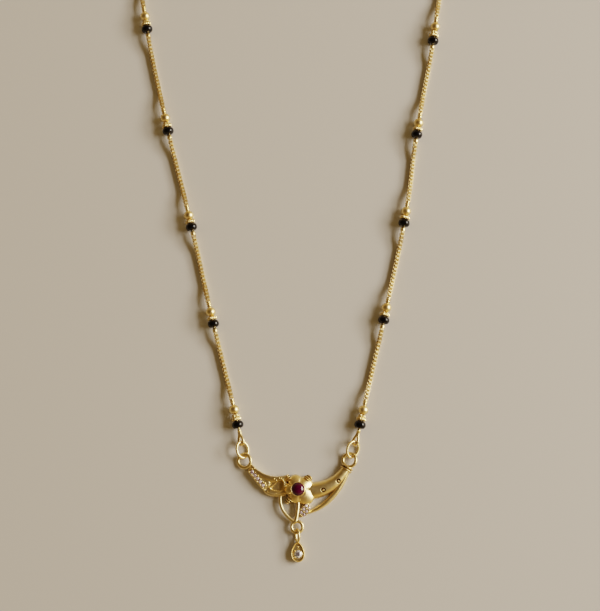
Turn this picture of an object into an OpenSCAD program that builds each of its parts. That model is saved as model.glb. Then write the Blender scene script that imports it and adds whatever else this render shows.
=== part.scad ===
// Gold mangalsutra lying flat: a cast pendant between two box chains with black bead clusters.
// Millimetres, +Z up, the floor at z = 0, the pendant's face up and the clasp at the +Y end.

/* [Fit] */
// Clear gap kept between neighbouring pieces
gap = 0.1; // [0.08:0.01:0.14]
// Clear gap round each stone in its seat
stone_gap = 0.04; // [0.03:0.01:0.06]
// Slack between two linked rings, along the line that joins them
play = 0.24; // [0.2:0.02:0.3]

/* [Chain] */
// Width across the box chain
chain_w = 1.1; // [0.9:0.05:1.3]
// Radius of the loop's back bend, hidden by the photograph's edge
back_r = 32; // [28:1:36]
// Distance from the frame's origin to the centre of the back bend
back_y = 71; // [66:0.5:76]
// Length of chain over which each run comes down from its bead cluster to the floor
droop_len = 5; // [4:0.5:6]

/* [Bead clusters] */
// Diameter of each round gold ball
ball_d = 2.4; // [2.1:0.1:2.7]
// Diameter of each black bead
bead_d = 2.8; // [2.5:0.1:3.1]
// Thickness of each black bead along its pin
bead_t = 1.8; // [1.5:0.1:2.1]
// Diameter of the flat face on each side of a black bead
bead_face_d = 1.3; // [1.1:0.1:1.6]
// Diameter of each milled gold spacer
spacer_d = 2.4; // [2.1:0.1:2.7]
// Thickness of each spacer's milled ring, beside the black bead
spacer_t = 0.8; // [0.7:0.05:1]
// Diameter of the collar that fills the rest of a longer spacer, beside the ball
collar_d = 1.8; // [1.6:0.1:2]
// Teeth round each milled spacer
spacer_teeth = 16; // [12:2:20]
// Depth of the notches between the teeth
notch = 0.15; // [0.1:0.05:0.2]
// Diameter of the pin wire that carries each cluster
pin_d = 0.6; // [0.5:0.05:0.7]
// Diameter of the round tip under each black bead
low_tip_d = 1.25; // [1.15:0.05:1.4]
// Length of the round tip under each black bead
low_tip_len = 1.2; // [1:0.1:1.4]
// Diameter of the narrow tip above each gold ball
high_tip_d = 1.2; // [1.15:0.05:1.4]
// Length of the narrow tip above each gold ball
high_tip_len = 1.4; // [1.2:0.1:1.7]

/* [Links at the pendant] */
// Outside diameter of the cast ring at each end of the pendant
ring_d = 3.9; // [3.7:0.1:4.1]
// Wire diameter of the cast rings
ring_wire = 0.66; // [0.6:0.02:0.7]
// Height of the cast rings' centres above the floor
ring_z = 1; // [0.95:0.05:1.1]
// Tilt of a cast ring about the line that joins it to its oval link
ring_tilt = 20; // [18:1:22]
// Tilt of that oval link the other way
link_tilt = 32; // [30:1:34]
// Outside length of each oval link
link_len = 4.5; // [4.3:0.1:4.8]
// Outside width of each oval link
link_w = 3.7; // [3.6:0.05:3.8]
// Wire diameter of each oval link
link_wire = 0.58; // [0.52:0.02:0.6]
// Length of the wire loop below each chain's first cluster
loop_len = 3.7; // [3.5:0.1:4]
// Outside width of that wire loop
loop_w = 2; // [1.9:0.05:2.2]
// Wire diameter of that loop
loop_wire = 0.45; // [0.4:0.01:0.48]
// Tilt of that loop about its own length
loop_tilt = 42; // [38:1:48]
// Diameter of the soldered ball where that loop joins its pin
solder_d = 0.95; // [0.9:0.05:1.1]

/* [Pendant wings] */
// Distance across from the ruby's axis to the left ring's centre
wing_reach = 12.9; // [12:0.1:13.8]
// Distance up from the ruby's axis to the left ring's centre
wing_rise = 6.8; // [6.2:0.1:7.4]
// Distance across from the ruby's axis to the right ring's centre
horn_reach = 12.4; // [11.6:0.1:13.2]
// Distance up from the ruby's axis to the right ring's centre
horn_rise = 7; // [6.4:0.1:7.6]
// Greatest width of the satin horn on the right
horn_w = 4.1; // [3.7:0.1:4.5]
// Greatest height of the satin horn
horn_h = 1.9; // [1.7:0.1:2.1]
// Width of the blade that sweeps under the horn
blade_w = 1.4; // [1.2:0.1:1.6]
// Height of that blade
blade_h = 1.2; // [1.05:0.05:1.35]
// Drop of the blade's lower end below the ruby's axis
blade_drop = 5.6; // [5.3:0.1:5.9]
// Width of the satin rail along the top of the left wing
rail_w = 1.9; // [1.7:0.1:2.1]
// Height of that rail
rail_h = 1.7; // [1.5:0.1:1.9]
// Width of the rail along the bottom of the left wing
lower_rail_w = 0.95; // [0.8:0.05:1.1]
// Height of that lower rail
lower_rail_h = 1.25; // [1.1:0.05:1.4]
// Wire diameter of the open leaf under the flower
stem_wire = 0.82; // [0.74:0.02:0.9]
// Height of the middle of that wire and of the drop's cast ring above the floor
stem_z = 1.05; // [1:0.05:1.15]
// Width of the straight bar that carries the wing's row of stones
row_w = 1.6; // [1.5:0.1:1.8]
// Height of that bar
row_h = 1.4; // [1.3:0.05:1.6]
// Length of the pierced leaf between the wing's rails
leaf_len = 5.2; // [4.9:0.1:5.5]
// Width of the pierced leaf
leaf_w = 2.9; // [2.7:0.1:3.1]
// Width of the rim left round the pierced leaf's window
leaf_rim = 0.42; // [0.36:0.02:0.5]
// Height of the pierced leaf
leaf_h = 1.2; // [1:0.1:1.4]
// Height of the low plate that fills the wing round that leaf
web_h = 0.9; // [0.75:0.05:0.95]
// Thickness of each soldered band across the horn's end
band_t = 0.36; // [0.3:0.02:0.42]
// How far each band stands out from the horn
band_over = 0.2; // [0.14:0.02:0.26]
// Diameter of the punched circles on the horn
circle_d = 1.15; // [1:0.05:1.3]
// Depth of the punched circles
circle_depth = 0.22; // [0.15:0.01:0.3]

/* [Flower and ruby] */
// Diameter of the ruby
ruby_d = 3; // [2.8:0.1:3.2]
// Height of the ruby's dome above its girdle
ruby_dome = 0.9; // [0.7:0.05:1.1]
// Thickness of the ruby's bezel wall
bezel_wall = 0.26; // [0.22:0.02:0.34]
// Height of the bezel's rim above the floor
bezel_h = 2.9; // [2.7:0.05:3.1]
// Depth of the ruby's girdle below the bezel's rim
girdle_depth = 0.35; // [0.25:0.05:0.45]
// Radius of a rounded petal of middle size
petal_r = 1.7; // [1.6:0.05:1.8]
// Distance from the ruby's axis to that petal's centre
petal_ring = 1.95; // [1.85:0.05:2.1]
// Height of the petals
petal_h = 2.3; // [2.1:0.05:2.5]
// Distance from the ruby's axis to the outer rib of each ribbed sepal
sepal_reach = 4.05; // [3.9:0.05:4.2]
// Height of the sepals under their ribs
sepal_h = 1.2; // [1:0.05:1.4]
// Thickness of the sepals' ribs
rib_d = 0.5; // [0.4:0.02:0.56]

/* [Small stones] */
// Diameter of each stone in the wing's row
row_stone_d = 0.86; // [0.8:0.02:0.92]
// Distance between the stones in the wing's row
row_pitch = 1.02; // [1:0.01:1.1]
// Diameter of each stone in the lower leaf
lower_stone_d = 0.76; // [0.7:0.02:0.8]
// Length of the lower leaf
lower_len = 3.7; // [3.4:0.1:4]
// Width of the lower leaf
lower_w = 2.1; // [1.95:0.05:2.3]
// Height of the lower leaf
lower_h = 1.5; // [1.3:0.05:1.7]

/* [Drop] */
// Outside diameter of the cast ring that holds the drop
drop_ring_d = 3.3; // [3.2:0.1:3.6]
// Drop of that ring's centre below the ruby's axis
drop_ring_fall = 8.9; // [8.6:0.1:9.3]
// Length of the drop's bail
bail_len = 3.4; // [3.2:0.05:3.6]
// Outside depth of the drop's bail
bail_w = 2.25; // [2.2:0.05:2.3]
// Wire diameter of the drop's bail
bail_wire = 0.42; // [0.38:0.02:0.44]
// Tilt of the bail about its own length
bail_tilt = 64; // [62:1:70]
// Length of the pear frame
pear_len = 4.9; // [4.7:0.1:5.2]
// Width of the pear frame
pear_w = 3.2; // [3:0.1:3.5]
// Height of the pear frame
pear_h = 1.3; // [1.1:0.05:1.5]
// Width of the raised wire round the pear frame
pear_rim = 0.36; // [0.3:0.02:0.42]
// Diameter of the drop's stone
drop_stone_d = 1.9; // [1.7:0.05:2]

/* [Clasp] */
// Wire diameter of the S hook
hook_wire = 0.9; // [0.8:0.05:1]
// Mean radius of each bend of the S hook
hook_r = 2; // [1.9:0.05:2.3]
// Outside diameter of each end ring
end_ring_d = 3.6; // [3.5:0.05:3.8]
// Wire diameter of each end ring
end_ring_wire = 0.5; // [0.45:0.05:0.55]
// Outside diameter of the eye on each end cap
eye_d = 2.3; // [2.25:0.05:2.6]
// Wire diameter of that eye
eye_wire = 0.45; // [0.4:0.05:0.5]
// Diameter of each end cap's barrel
cap_d = 1.8; // [1.7:0.05:2]
// Length of each end cap's barrel
cap_len = 2.4; // [2.2:0.1:2.8]

/* [Hidden] */
SIDES = ["left", "right"];
CLUSTERS = 5;

// Chosen by hand: where the ruby's axis stands, and the black beads' centres from the second up.
ruby_at = [2, -88];
chain_route = [
    [[-18.7, -47.8], [-24.4, -23.5], [-30.6, 1.2], [-36.4, 28.1]],
    [[23, -46.9], [28.3, -22.5], [31.8, 0.3], [36.3, 25]]
];
// Directions from the pendant's two rings to their wire loops, in degrees from +X.
hang_turn = [100, 72];
// Directions of the first cluster on each side, in degrees from +X.
first_turn = [104, 77];
// Each cluster's spacer with its collar, as a share of the milled ring's thickness.
SPACER_SHARES = [[1.9, 1, 1, 1.55, 1.55], [1.8, 1.2, 1, 1, 1.95]];
// Direction in which the drop lies, in degrees from +X.
drop_turn = 272;

GOLD = [0.83, 0.66, 0.33];
WIRE_SIDES = 6;
ROUND = 48;

chain_r = chain_w * 0.54;
axis_z = max(bead_d, ball_d, spacer_d) / 2;
bore_d = pin_d + 2 * gap;
ball_len = sqrt(ball_d * ball_d - bore_d * bore_d);
ring_r = (ring_d - ring_wire) / 2;
link_a = (link_len - link_wire) / 2;
link_b = (link_w - link_wire) / 2;
loop_b = (loop_w - loop_wire) / 2;
bezel_r = ruby_d / 2 + stone_gap + bezel_wall;
girdle_z = bezel_h - girdle_depth;

// General shapes swept through rings of points

function unit(v) = v / norm(v);
function bend(p, t) = (1 - t) * (1 - t) * p[0] + 2 * t * (1 - t) * p[1] + t * t * p[2];
function bend_way(p, t) = unit((1 - t) * (p[1] - p[0]) + t * (p[2] - p[1]));
function flat(v) = [v[0], v[1], 0];
function polar(r, a) = [r * cos(a), r * sin(a)];

// Faces over rings of n points that run anticlockwise about the way of travel
function loft_faces(m, n, closed) = concat(
    [for (i = [0:closed ? m - 1 : m - 2]) for (j = [0:n - 1])
        let (a = i * n, b = ((i + 1) % m) * n, k = (j + 1) % n)
        [a + j, b + j, b + k, a + k]],
    closed ? [] : [[for (j = [0:n - 1]) j], [for (j = [n - 1:-1:0]) (m - 1) * n + j]]
);

module loft(rings, closed = false) {
    n = len(rings[0]);
    polyhedron([for (r = rings) for (q = r) q], loft_faces(len(rings), n, closed), convexity = 6);
}

// A ring of n points round p, square to the way d, with its first point towards the reference up
function wire_ring(p, d, r, n, up) =
    let (side = unit(cross(up, d)), top = cross(d, side))
    [for (j = [0:n - 1]) p + r * (cos(j * 360 / n + 90 / n) * side + sin(j * 360 / n + 90 / n) * top)];

function way_at(path, i, closed) =
    let (m = len(path))
    closed ? unit(path[(i + 1) % m] - path[(i + m - 1) % m])
           : unit(path[min(i + 1, m - 1)] - path[max(i - 1, 0)]);

module wire(path, d, closed = false, n = WIRE_SIDES) {
    loft([for (i = [0:len(path) - 1])
        wire_ring(path[i], way_at(path, i, closed), d / 2, n, [0, 0, 1])], closed);
}

// A closed oval wire in the XY plane, its length along X
module oval(a, b, d, steps = 18) {
    wire([for (i = [0:steps - 1]) [a * cos(i * 360 / steps), b * sin(i * 360 / steps), 0]],
        d, closed = true);
}

// Half section of a cast bar, from one bottom edge over the top to the other, in half widths
DOME = [[1, 0], [1, 0.5], [0.78, 0.82], [0.4, 0.96], [0, 1], [-0.4, 0.96], [-0.78, 0.82],
    [-1, 0.5], [-1, 0]];
FLAT_TOP = [[1, 0], [1, 0.88], [0.86, 1], [-0.86, 1], [-1, 0.88], [-1, 0]];

// A cast bar along a bend: each row of the table has its share of the way, and shares of the
// width and of the height there
module bar(p, width, height, rows, section = DOME) {
    loft([for (row = rows)
        let (c = bend(p, row[0]), d = bend_way(p, row[0]), side = [-d[1], d[0]])
        [for (q = section) [
            c[0] + side[0] * q[0] * row[1] * width / 2,
            c[1] + side[1] * q[0] * row[1] * width / 2,
            q[1] * row[2] * height
        ]]
    ]);
}

// Pendant, in its own frame with the ruby's axis at the origin

wing_ring_at = [-wing_reach, wing_rise];
horn_ring_at = [horn_reach, horn_rise];

// Columns: share of the way, share of the width, share of the height
HORN_ROWS = [[0, 0.85, 0.9], [0.14, 1, 1], [0.3, 0.95, 1], [0.45, 0.87, 0.98], [0.6, 0.78, 0.95],
    [0.75, 0.68, 0.9], [0.9, 0.61, 0.86], [1, 0.57, 0.82]];
BLADE_ROWS = [[0, 0.4, 0.6], [0.08, 0.58, 0.75], [0.2, 0.78, 0.9], [0.4, 0.95, 1], [0.6, 1, 1],
    [0.8, 0.95, 1], [0.92, 0.9, 1.05], [1, 0.8, 1.1]];
RAIL_ROWS = [[0, 0.56, 0.85], [0.1, 0.68, 0.9], [0.3, 0.88, 0.97], [0.5, 1, 1], [0.7, 0.98, 1],
    [0.86, 0.9, 1], [1, 0.8, 0.95]];
LOWER_RAIL_ROWS = [[0, 0.8, 0.85], [0.25, 0.95, 0.95], [0.5, 1, 1], [0.75, 1, 1], [1, 0.9, 1]];
BAND_ROWS = [[0, 0.94, 0.93], [0.3, 1, 1], [0.7, 1, 1], [1, 0.94, 0.93]];
STRAIGHT_ROWS = [[0, 0.55, 0.85], [0.07, 0.9, 1], [0.2, 1, 1], [0.93, 1, 1], [1, 0.7, 0.92]];

// Bends, as shares of the reach and rise of the ring at their end
horn_bend = [
    [0.1 * horn_reach, -0.05 * horn_rise],
    [0.67 * horn_reach, -0.1 * horn_rise],
    horn_ring_at - polar(ring_r + 0.1, 72)
];
blade_bend = [
    [0.18 * horn_reach, -blade_drop],
    [0.715 * horn_reach, -0.49 * horn_rise],
    horn_ring_at - polar(ring_r + 1, 80)
];
rail_bend = [
    wing_ring_at + polar(ring_r - 0.05, -38),
    [-0.605 * wing_reach, 0.075 * wing_rise],
    [-0.17 * wing_reach, 0.4 * wing_rise]
];
lower_rail_bend = [
    [-0.63 * wing_reach, 0.01 * wing_rise],
    [-0.54 * wing_reach, -0.28 * wing_rise],
    [-0.22 * wing_reach, -0.17 * wing_rise]
];
row_from = wing_ring_at + polar(ring_r + 0.65, -58);
row_to = [-0.6 * wing_reach, 0.03 * wing_rise];
row_way = unit(row_to - row_from);
leaf_at = [-0.376 * wing_reach, 0.12 * wing_rise];
leaf_turn = 38;
// Corners of the wing's low plate, as shares of the reach and rise of the wing's ring
WEB = [[-0.64, 0.24], [-0.57, 0.32], [-0.43, 0.35], [-0.23, 0.35], [-0.16, 0], [-0.22, -0.17],
    [-0.43, -0.18], [-0.57, -0.1], [-0.62, 0.03]];
lower_at = [1.6, -petal_ring - 0.85 * lower_len];
lower_turn = 52;
drop_ring_at = [-0.2, -drop_ring_fall];
drop_ring_r = (drop_ring_d - ring_wire) / 2;
// A petal's puffed side: shares of its radius and of its height
PUFF = [[1, 0.42], [0.94, 0.66], [0.82, 0.82], [0.62, 0.94], [0.34, 1]];
// Each petal's direction and its size as a share of the middle one
PETALS = [[108, 1], [36, 1.08], [-40, 1.24], [-108, 0.93], [180, 0.88]];
// Each sepal's direction and half its width
SEPALS = [[46, 1], [130, 0.6], [230, 0.6]];
// Each rib's share of the sepal's reach and of its half length, and its lift in rib thicknesses
RIBS = [[0.74, 1.1, 0.5], [0.87, 0.8, 0.26], [1, 0.5, 0.02]];
// Where the punched circles lie along the horn
CIRCLE_SHARES = [0.36, 0.71];

// Positions of the stones, each [x, y] in the pendant's frame
row_girdle = row_h - 0.08;
lower_girdle = lower_h - 0.07;
row_count = 5;
row_stones = [for (k = [0:row_count - 1])
    (row_from + row_to) / 2 + row_way * (k - (row_count - 1) / 2) * row_pitch];
lower_stones_at = [for (i = [-1:1]) for (j = [-1, 1])
    lower_at + (i + 0.15) * 0.27 * lower_len * polar(1, lower_turn)
    + j * 0.21 * lower_w * polar(1, lower_turn + 90)];

module at_points(points, z = 0) {
    for (p = points) translate([p[0], p[1], z]) children();
}

// A lens outline: two equal arcs that meet at a point on each side, its length along X
module lens(length, width) {
    r = (length * length + width * width) / (4 * width);
    intersection() {
        translate([0, r - width / 2]) circle(r, $fn = 72);
        translate([0, width / 2 - r]) circle(r, $fn = 72);
    }
}

module horn() {
    difference() {
        bar(horn_bend, horn_w, horn_h, HORN_ROWS);
        for (t = CIRCLE_SHARES) {
            top = horn_h * lookup(t, [for (row = HORN_ROWS) [row[0], row[2]]]);
            c = bend(horn_bend, t) + horn_w * [0.06, -0.1];
            translate(concat(c, top - circle_depth)) difference() {
                cylinder(h = 1, d = circle_d, $fn = 20);
                cylinder(h = circle_depth, d1 = 0.55 * circle_d, d2 = 0.35 * circle_d, $fn = 14);
            }
        }
    }
    // Two soldered bands across the horn's end, the second one band's thickness and a third back
    tip = HORN_ROWS[len(HORN_ROWS) - 1];
    way = bend_way(horn_bend, 1) * band_t / 2;
    for (back = [0, 1]) let (c = horn_bend[2] - way * back * 8 / 3)
        bar([c - way, c, c + way], tip[1] * horn_w + 2 * band_over, tip[2] * horn_h + band_over,
            BAND_ROWS);
}

module wing() {
    bar(rail_bend, rail_w, rail_h, RAIL_ROWS);
    bar(lower_rail_bend, lower_rail_w, lower_rail_h, LOWER_RAIL_ROWS);
    bar([row_from, (row_from + row_to) / 2, row_to], row_w, row_h, STRAIGHT_ROWS, FLAT_TOP);
    difference() {
        union() {
            linear_extrude(web_h) polygon([for (c = WEB) [c[0] * wing_reach, c[1] * wing_rise]]);
            translate(leaf_at) rotate(leaf_turn) linear_extrude(leaf_h) lens(leaf_len, leaf_w);
        }
        translate(concat(leaf_at, -1)) rotate(leaf_turn) linear_extrude(leaf_h + 2)
            lens(leaf_len - 4 * leaf_rim, leaf_w - 2 * leaf_rim);
    }
}

// A small leaf crossed by three ribs, its length away from the ruby
module sepal(turn, half) {
    rotate(turn) {
        hull() for (reach = [0.6, 0.96]) for (j = [-0.6, 0.6])
            translate([reach * sepal_reach, j * half, 0]) cylinder(h = sepal_h, r = 0.3, $fn = 12);
        for (rib = RIBS) hull() for (j = [-1, 1])
            translate([rib[0] * sepal_reach, j * rib[1] * half, sepal_h + rib[2] * rib_d])
                sphere(d = rib_d, $fn = 10);
    }
}

module flower() {
    cylinder(h = 0.7 * petal_h, r = petal_ring - 0.1 * petal_r, $fn = 40);
    for (petal = PETALS) rotate(petal[0]) translate([petal[1] * petal_ring, 0, 0])
        scale([petal[1], petal[1], 1]) hull() for (step = PUFF)
            cylinder(h = step[1] * petal_h, r = step[0] * petal_r, $fn = 28);
    for (piece = SEPALS) sepal(piece[0], piece[1]);
}

module lower_leaf() {
    translate(concat(lower_at, 0)) rotate(lower_turn) hull() {
        for (x = [-0.2, 0.24]) translate([x * lower_len, 0, 0])
            cylinder(h = lower_h, d = lower_w, $fn = 32);
        translate([-0.46 * lower_len, 0, 0]) cylinder(h = 0.8 * lower_h, d = 0.3 * lower_w, $fn = 16);
    }
}

// Seats for a set of stones whose girdles lie at a height
module seats(points, d, girdle) {
    at_points(points, girdle - 0.52 * d) cylinder(h = 2, d = d + 2 * stone_gap, $fn = 16);
}

// The open leaf of wire under the flower, whose point carries the drop's ring
module stem_loop() {
    foot = drop_ring_at + polar(drop_ring_r, 118);
    left = [[-0.318 * wing_reach, -0.16 * wing_rise], [-0.38 * wing_reach, -0.57 * drop_ring_fall], foot];
    right = [[0.02, -petal_ring], [0.15, -0.6 * drop_ring_fall], foot + [0.18, 0]];
    for (side = [left, right])
        wire([for (t = [0:0.125:1]) concat(bend(side, t), stem_z)], stem_wire, n = 10);
    translate(concat(drop_ring_at, stem_z)) oval(drop_ring_r, drop_ring_r, ring_wire);
}

module cast_ring(at, turn, tilt) {
    translate(concat(at, ring_z)) rotate([tilt, 0, turn]) oval(ring_r, ring_r, ring_wire, 20);
}

module pendant_frame() {
    color(GOLD) translate(flat(ruby_at)) difference() {
        union() {
            horn();
            bar(blade_bend, blade_w, blade_h, BLADE_ROWS);
            wing();
            flower();
            lower_leaf();
            stem_loop();
            cast_ring(wing_ring_at, hang_turn[0], -ring_tilt);
            cast_ring(horn_ring_at, hang_turn[1], -ring_tilt);
            cylinder(h = bezel_h, r = bezel_r, $fn = ROUND);
        }
        translate([0, 0, girdle_z - gap]) cylinder(h = 2, d = ruby_d + 2 * stone_gap, $fn = ROUND);
        seats(row_stones, row_stone_d, row_girdle);
        seats(lower_stones_at, lower_stone_d, lower_girdle);
    }
}

module ruby() {
    steps = 8;
    color([0.35, 0, 0.16]) translate(concat(ruby_at, girdle_z)) rotate_extrude($fn = ROUND)
        polygon(concat([[0, 0], [ruby_d / 2, 0]],
            [for (i = [0:steps]) [cos(i * 90 / steps) * ruby_d / 2,
                0.12 + sin(i * 90 / steps) * ruby_dome]]));
}

// An eight-sided cut stone with its girdle at z = 0
module cut_stone(d) {
    r = d / 2;
    levels = [[0.56 * r, 0.32 * r], [r, 0.04 * r], [r, -0.04 * r], [0.12 * r, -0.84 * r]];
    loft([for (l = levels) [for (j = [7:-1:0]) [l[0] * cos(45 * j), l[0] * sin(45 * j), l[1]]]]);
}

module wing_stones() {
    color([0.86, 0.8, 0.84]) translate(flat(ruby_at))
        at_points(row_stones, row_girdle) cut_stone(row_stone_d);
}

module lower_stones() {
    color([0.86, 0.8, 0.84]) translate(flat(ruby_at))
        at_points(lower_stones_at, lower_girdle) cut_stone(lower_stone_d);
}

// Drop, lying below the pendant: its own X runs from the cast ring to the pear's end

bail_a = (bail_len - bail_wire) / 2;
bail_b = (bail_w - bail_wire) / 2;
// From the cast ring's centre to the bail's centre, and on to the pear's point and round end
bail_x = drop_ring_r - ring_wire / 2 - bail_wire / 2 - play + bail_a;
pear_from = bail_x + bail_a - 0.1;
stone_x = pear_from + 0.61 * pear_len;

module in_drop() {
    translate(concat(ruby_at + drop_ring_at, 0)) rotate(drop_turn) children();
}

// A teardrop from its point at X = 0 to its round end
module teardrop(length, width, steps = 20) {
    side = [for (i = [0:steps]) let (a = i * 180 / steps)
        [length * (1 - cos(a)) / 2, 0.58 * width * sin(a) * pow(sin(a / 2), 0.5)]];
    polygon(concat(side, [for (i = [steps - 1:-1:1]) [side[i][0], -side[i][1]]]));
}

module drop_frame() {
    color(GOLD) in_drop() {
        difference() {
            union() {
                translate([pear_from, 0, 0]) {
                    linear_extrude(0.72 * pear_h) teardrop(pear_len, pear_w);
                    linear_extrude(pear_h) difference() {
                        teardrop(pear_len, pear_w);
                        translate([1.6 * pear_rim, 0])
                            teardrop(pear_len - 2.6 * pear_rim, pear_w - 2 * pear_rim);
                    }
                }
                // The neck that carries the bail
                translate([pear_from + 0.3, 0, 0]) cylinder(h = pear_h, d = 0.8, $fn = 16);
                translate([stone_x, 0, 0])
                    cylinder(h = pear_h, d = drop_stone_d + 2 * stone_gap + 0.4, $fn = 32);
            }
            translate([stone_x, 0, -1])
                cylinder(h = 4, d = drop_stone_d + 2 * stone_gap, $fn = 32);
        }
        translate([stone_x, 0, 0]) difference() {
            cylinder(h = 0.3 * pear_h, d = drop_stone_d + 0.5, $fn = 32);
            translate([0, 0, -1]) cylinder(h = 3, d = 0.5 * drop_stone_d, $fn = 24);
        }
        translate([bail_x, 0, stem_z]) rotate([bail_tilt, 0, 0]) oval(bail_a, bail_b, bail_wire, 16);
    }
}

module drop_stone() {
    color([0.88, 0.88, 0.9]) in_drop() translate([stone_x, 0, pear_h - 0.08 * drop_stone_d])
        cut_stone(drop_stone_d);
}

// The line from each cast ring through its oval link and wire loop to the first cluster

link_x = ring_r - ring_wire / 2 + link_a - link_wire / 2 - play;
neck_x = link_x + link_a - link_wire / 2 - play + loop_len - loop_wire;
hang_lift = asin((axis_z - ring_z) / neck_x);

function ring_at(s) = concat(ruby_at + [wing_ring_at, horn_ring_at][s], ring_z);
function hang_way(s) = let (a = hang_turn[s])
    [cos(hang_lift) * cos(a), cos(hang_lift) * sin(a), sin(hang_lift)];

module on_line(s, x, tilt) {
    translate(ring_at(s) + x * hang_way(s)) rotate([tilt, -hang_lift, hang_turn[s]]) children();
}

module link(s) {
    color(GOLD) on_line(s, link_x, link_tilt) oval(link_a, link_b, link_wire);
}

// Bead clusters: each lies along X with its black bead at the origin, away from the pendant

spacer_x = (bead_t + spacer_t) / 2 + gap;
function ball_x(s, k) = bead_t / 2 + SPACER_SHARES[s][k] * spacer_t + ball_len / 2 + 2 * gap;
function high_tip_x(s, k) = ball_x(s, k) + ball_len / 2 + gap;
function high_end(s, k) = high_tip_x(s, k) + high_tip_len;
low_tip_x = bead_t / 2 + gap;
low_end = low_tip_x + low_tip_len;
neck_to_bead = solder_d / 2 + gap + bead_t / 2;

function turn_of(v) = atan2(v[1], v[0]);
function back_start(s) = [(s == 0 ? -1 : 1) * (clasp_half + back_r), back_y];
function bead_at(s, k) = k == 0
    ? let (n = ring_at(s) + neck_x * hang_way(s)) [n[0], n[1]] + polar(neck_to_bead, first_turn[s])
    : k > CLUSTERS - 1 ? back_start(s) : chain_route[s][k - 1];
function cluster_turn(s, k) = k == 0 ? first_turn[s] : turn_of(bead_at(s, k + 1) - bead_at(s, k - 1));

module in_cluster(s, k, x = 0) {
    translate(concat(bead_at(s, k), axis_z)) rotate([0, 0, cluster_turn(s, k)])
        translate([x, 0, 0]) rotate([0, 90, 0]) children();
}

module ball(s, k) {
    color(GOLD) in_cluster(s, k, ball_x(s, k)) difference() {
        sphere(d = ball_d, $fn = ROUND);
        cylinder(h = 2 * ball_d, d = bore_d, center = true, $fn = 24);
    }
}

module black_bead(s, k) {
    steps = 10;
    face_r = bead_face_d / 2;
    color([0.03, 0.03, 0.04]) in_cluster(s, k) rotate_extrude($fn = ROUND)
        polygon(concat([[bore_d / 2, bead_t / 2], [bore_d / 2, -bead_t / 2]],
            [for (i = [0:steps]) let (a = -90 + i * 180 / steps)
                [face_r + (bead_d / 2 - face_r) * cos(a), sin(a) * bead_t / 2]]));
}

module spacer(s, k) {
    steps = 2 * spacer_teeth;
    color(GOLD) in_cluster(s, k, spacer_x) translate([0, 0, -spacer_t / 2]) difference() {
        union() {
            linear_extrude(spacer_t) polygon([for (i = [0:2 * steps - 1])
                polar(spacer_d / 2 - (floor(i / 2) % 2) * notch, i * 360 / (2 * steps))]);
            cylinder(h = SPACER_SHARES[s][k] * spacer_t, d = collar_d, $fn = 32);
        }
        translate([0, 0, -1]) cylinder(h = 5, d = bore_d, $fn = 24);
    }
}

// Half outline of a rounded barrel along Y, from y0 over a length, round a wire
function tip_outline(y0, length, d) = [for (q = [[0.72, 0], [0.95, 0.16], [1, 0.5], [0.95, 0.84], [0.72, 1]])
    [q[0] * d / 2, y0 + q[1] * length]];

module pin(s, k) {
    color(GOLD) in_cluster(s, k) rotate_extrude($fn = 32) polygon(concat(
        k == 0 ? [[0, -low_tip_x - solder_d / 2], [pin_d / 2, -low_tip_x - solder_d / 2]]
               : concat([[0, -low_end]], tip_outline(-low_end, low_tip_len, low_tip_d),
                   [[pin_d / 2, -low_tip_x]]),
        [[pin_d / 2, high_tip_x(s, k)]],
        tip_outline(high_tip_x(s, k), high_tip_len, high_tip_d),
        [[0, high_end(s, k)]]
    ));
    if (k == 0) color(GOLD) {
        translate(ring_at(s) + neck_x * hang_way(s)) sphere(d = solder_d, $fn = 24);
        on_line(s, neck_x, -loop_tilt) wire(loop_path(), loop_wire);
    }
}

// A wire that leaves the solder ball, runs straight into a round end and comes back to the ball
function loop_path() = let (foot = [0.55 * loop_wire, 0.54 * loop_wire], steps = 12,
    far = loop_len - loop_wire / 2 - loop_b,
    side = 90 - atan((loop_b - foot[1]) / (far - foot[0])))
    concat([[-foot[0], foot[1], 0]],
        [for (i = [0:steps]) let (a = side + i * (360 - 2 * side) / steps)
            [loop_b * cos(a) - far, loop_b * sin(a), 0]],
        [[-foot[0], -foot[1], 0]]);

// Clasp: the S hook lies on the X axis at the top of the loop, with a ring and a cap each side

hook_turn = 50;
hook_c = hook_r / cos(hook_turn);
end_ring_r = (end_ring_d - end_ring_wire) / 2;
eye_r = (eye_d - eye_wire) / 2;
end_ring_tilt = 45;
end_ring_x = hook_c + hook_r - (hook_wire + end_ring_wire) / 2 - 1.3 * play + end_ring_r;
eye_x = end_ring_x + end_ring_r - (end_ring_wire + eye_wire) / 2 - play + eye_r;
cap_x = eye_x + eye_r - 0.1;
clasp_half = cap_x + cap_len;
clasp_z = end_ring_r * sin(end_ring_tilt) + end_ring_wire / 2;
chain_in_cap = cap_len - 1.2;

module in_clasp(s) {
    translate([0, back_y + back_r, clasp_z]) rotate([0, 0, s == 0 ? 180 : 0]) children();
}

module clasp_hook() {
    arc = [for (a = [-60:-25:-310]) polar(hook_r, a) - [hook_c, 0]];
    path = concat(arc, [for (i = [len(arc) - 1:-1:0]) -arc[i]]);
    color(GOLD) in_clasp(1) {
        wire([for (p = path) concat(p, 0)], hook_wire, n = 10);
        for (p = [path[0], -path[0]]) translate(concat(p, 0)) sphere(d = 1.25 * hook_wire, $fn = 24);
    }
}

module end_ring(s) {
    color(GOLD) in_clasp(s) translate([end_ring_x, 0, 0]) rotate([end_ring_tilt, 0, 0])
        oval(end_ring_r, end_ring_r, end_ring_wire, 16);
}

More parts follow.
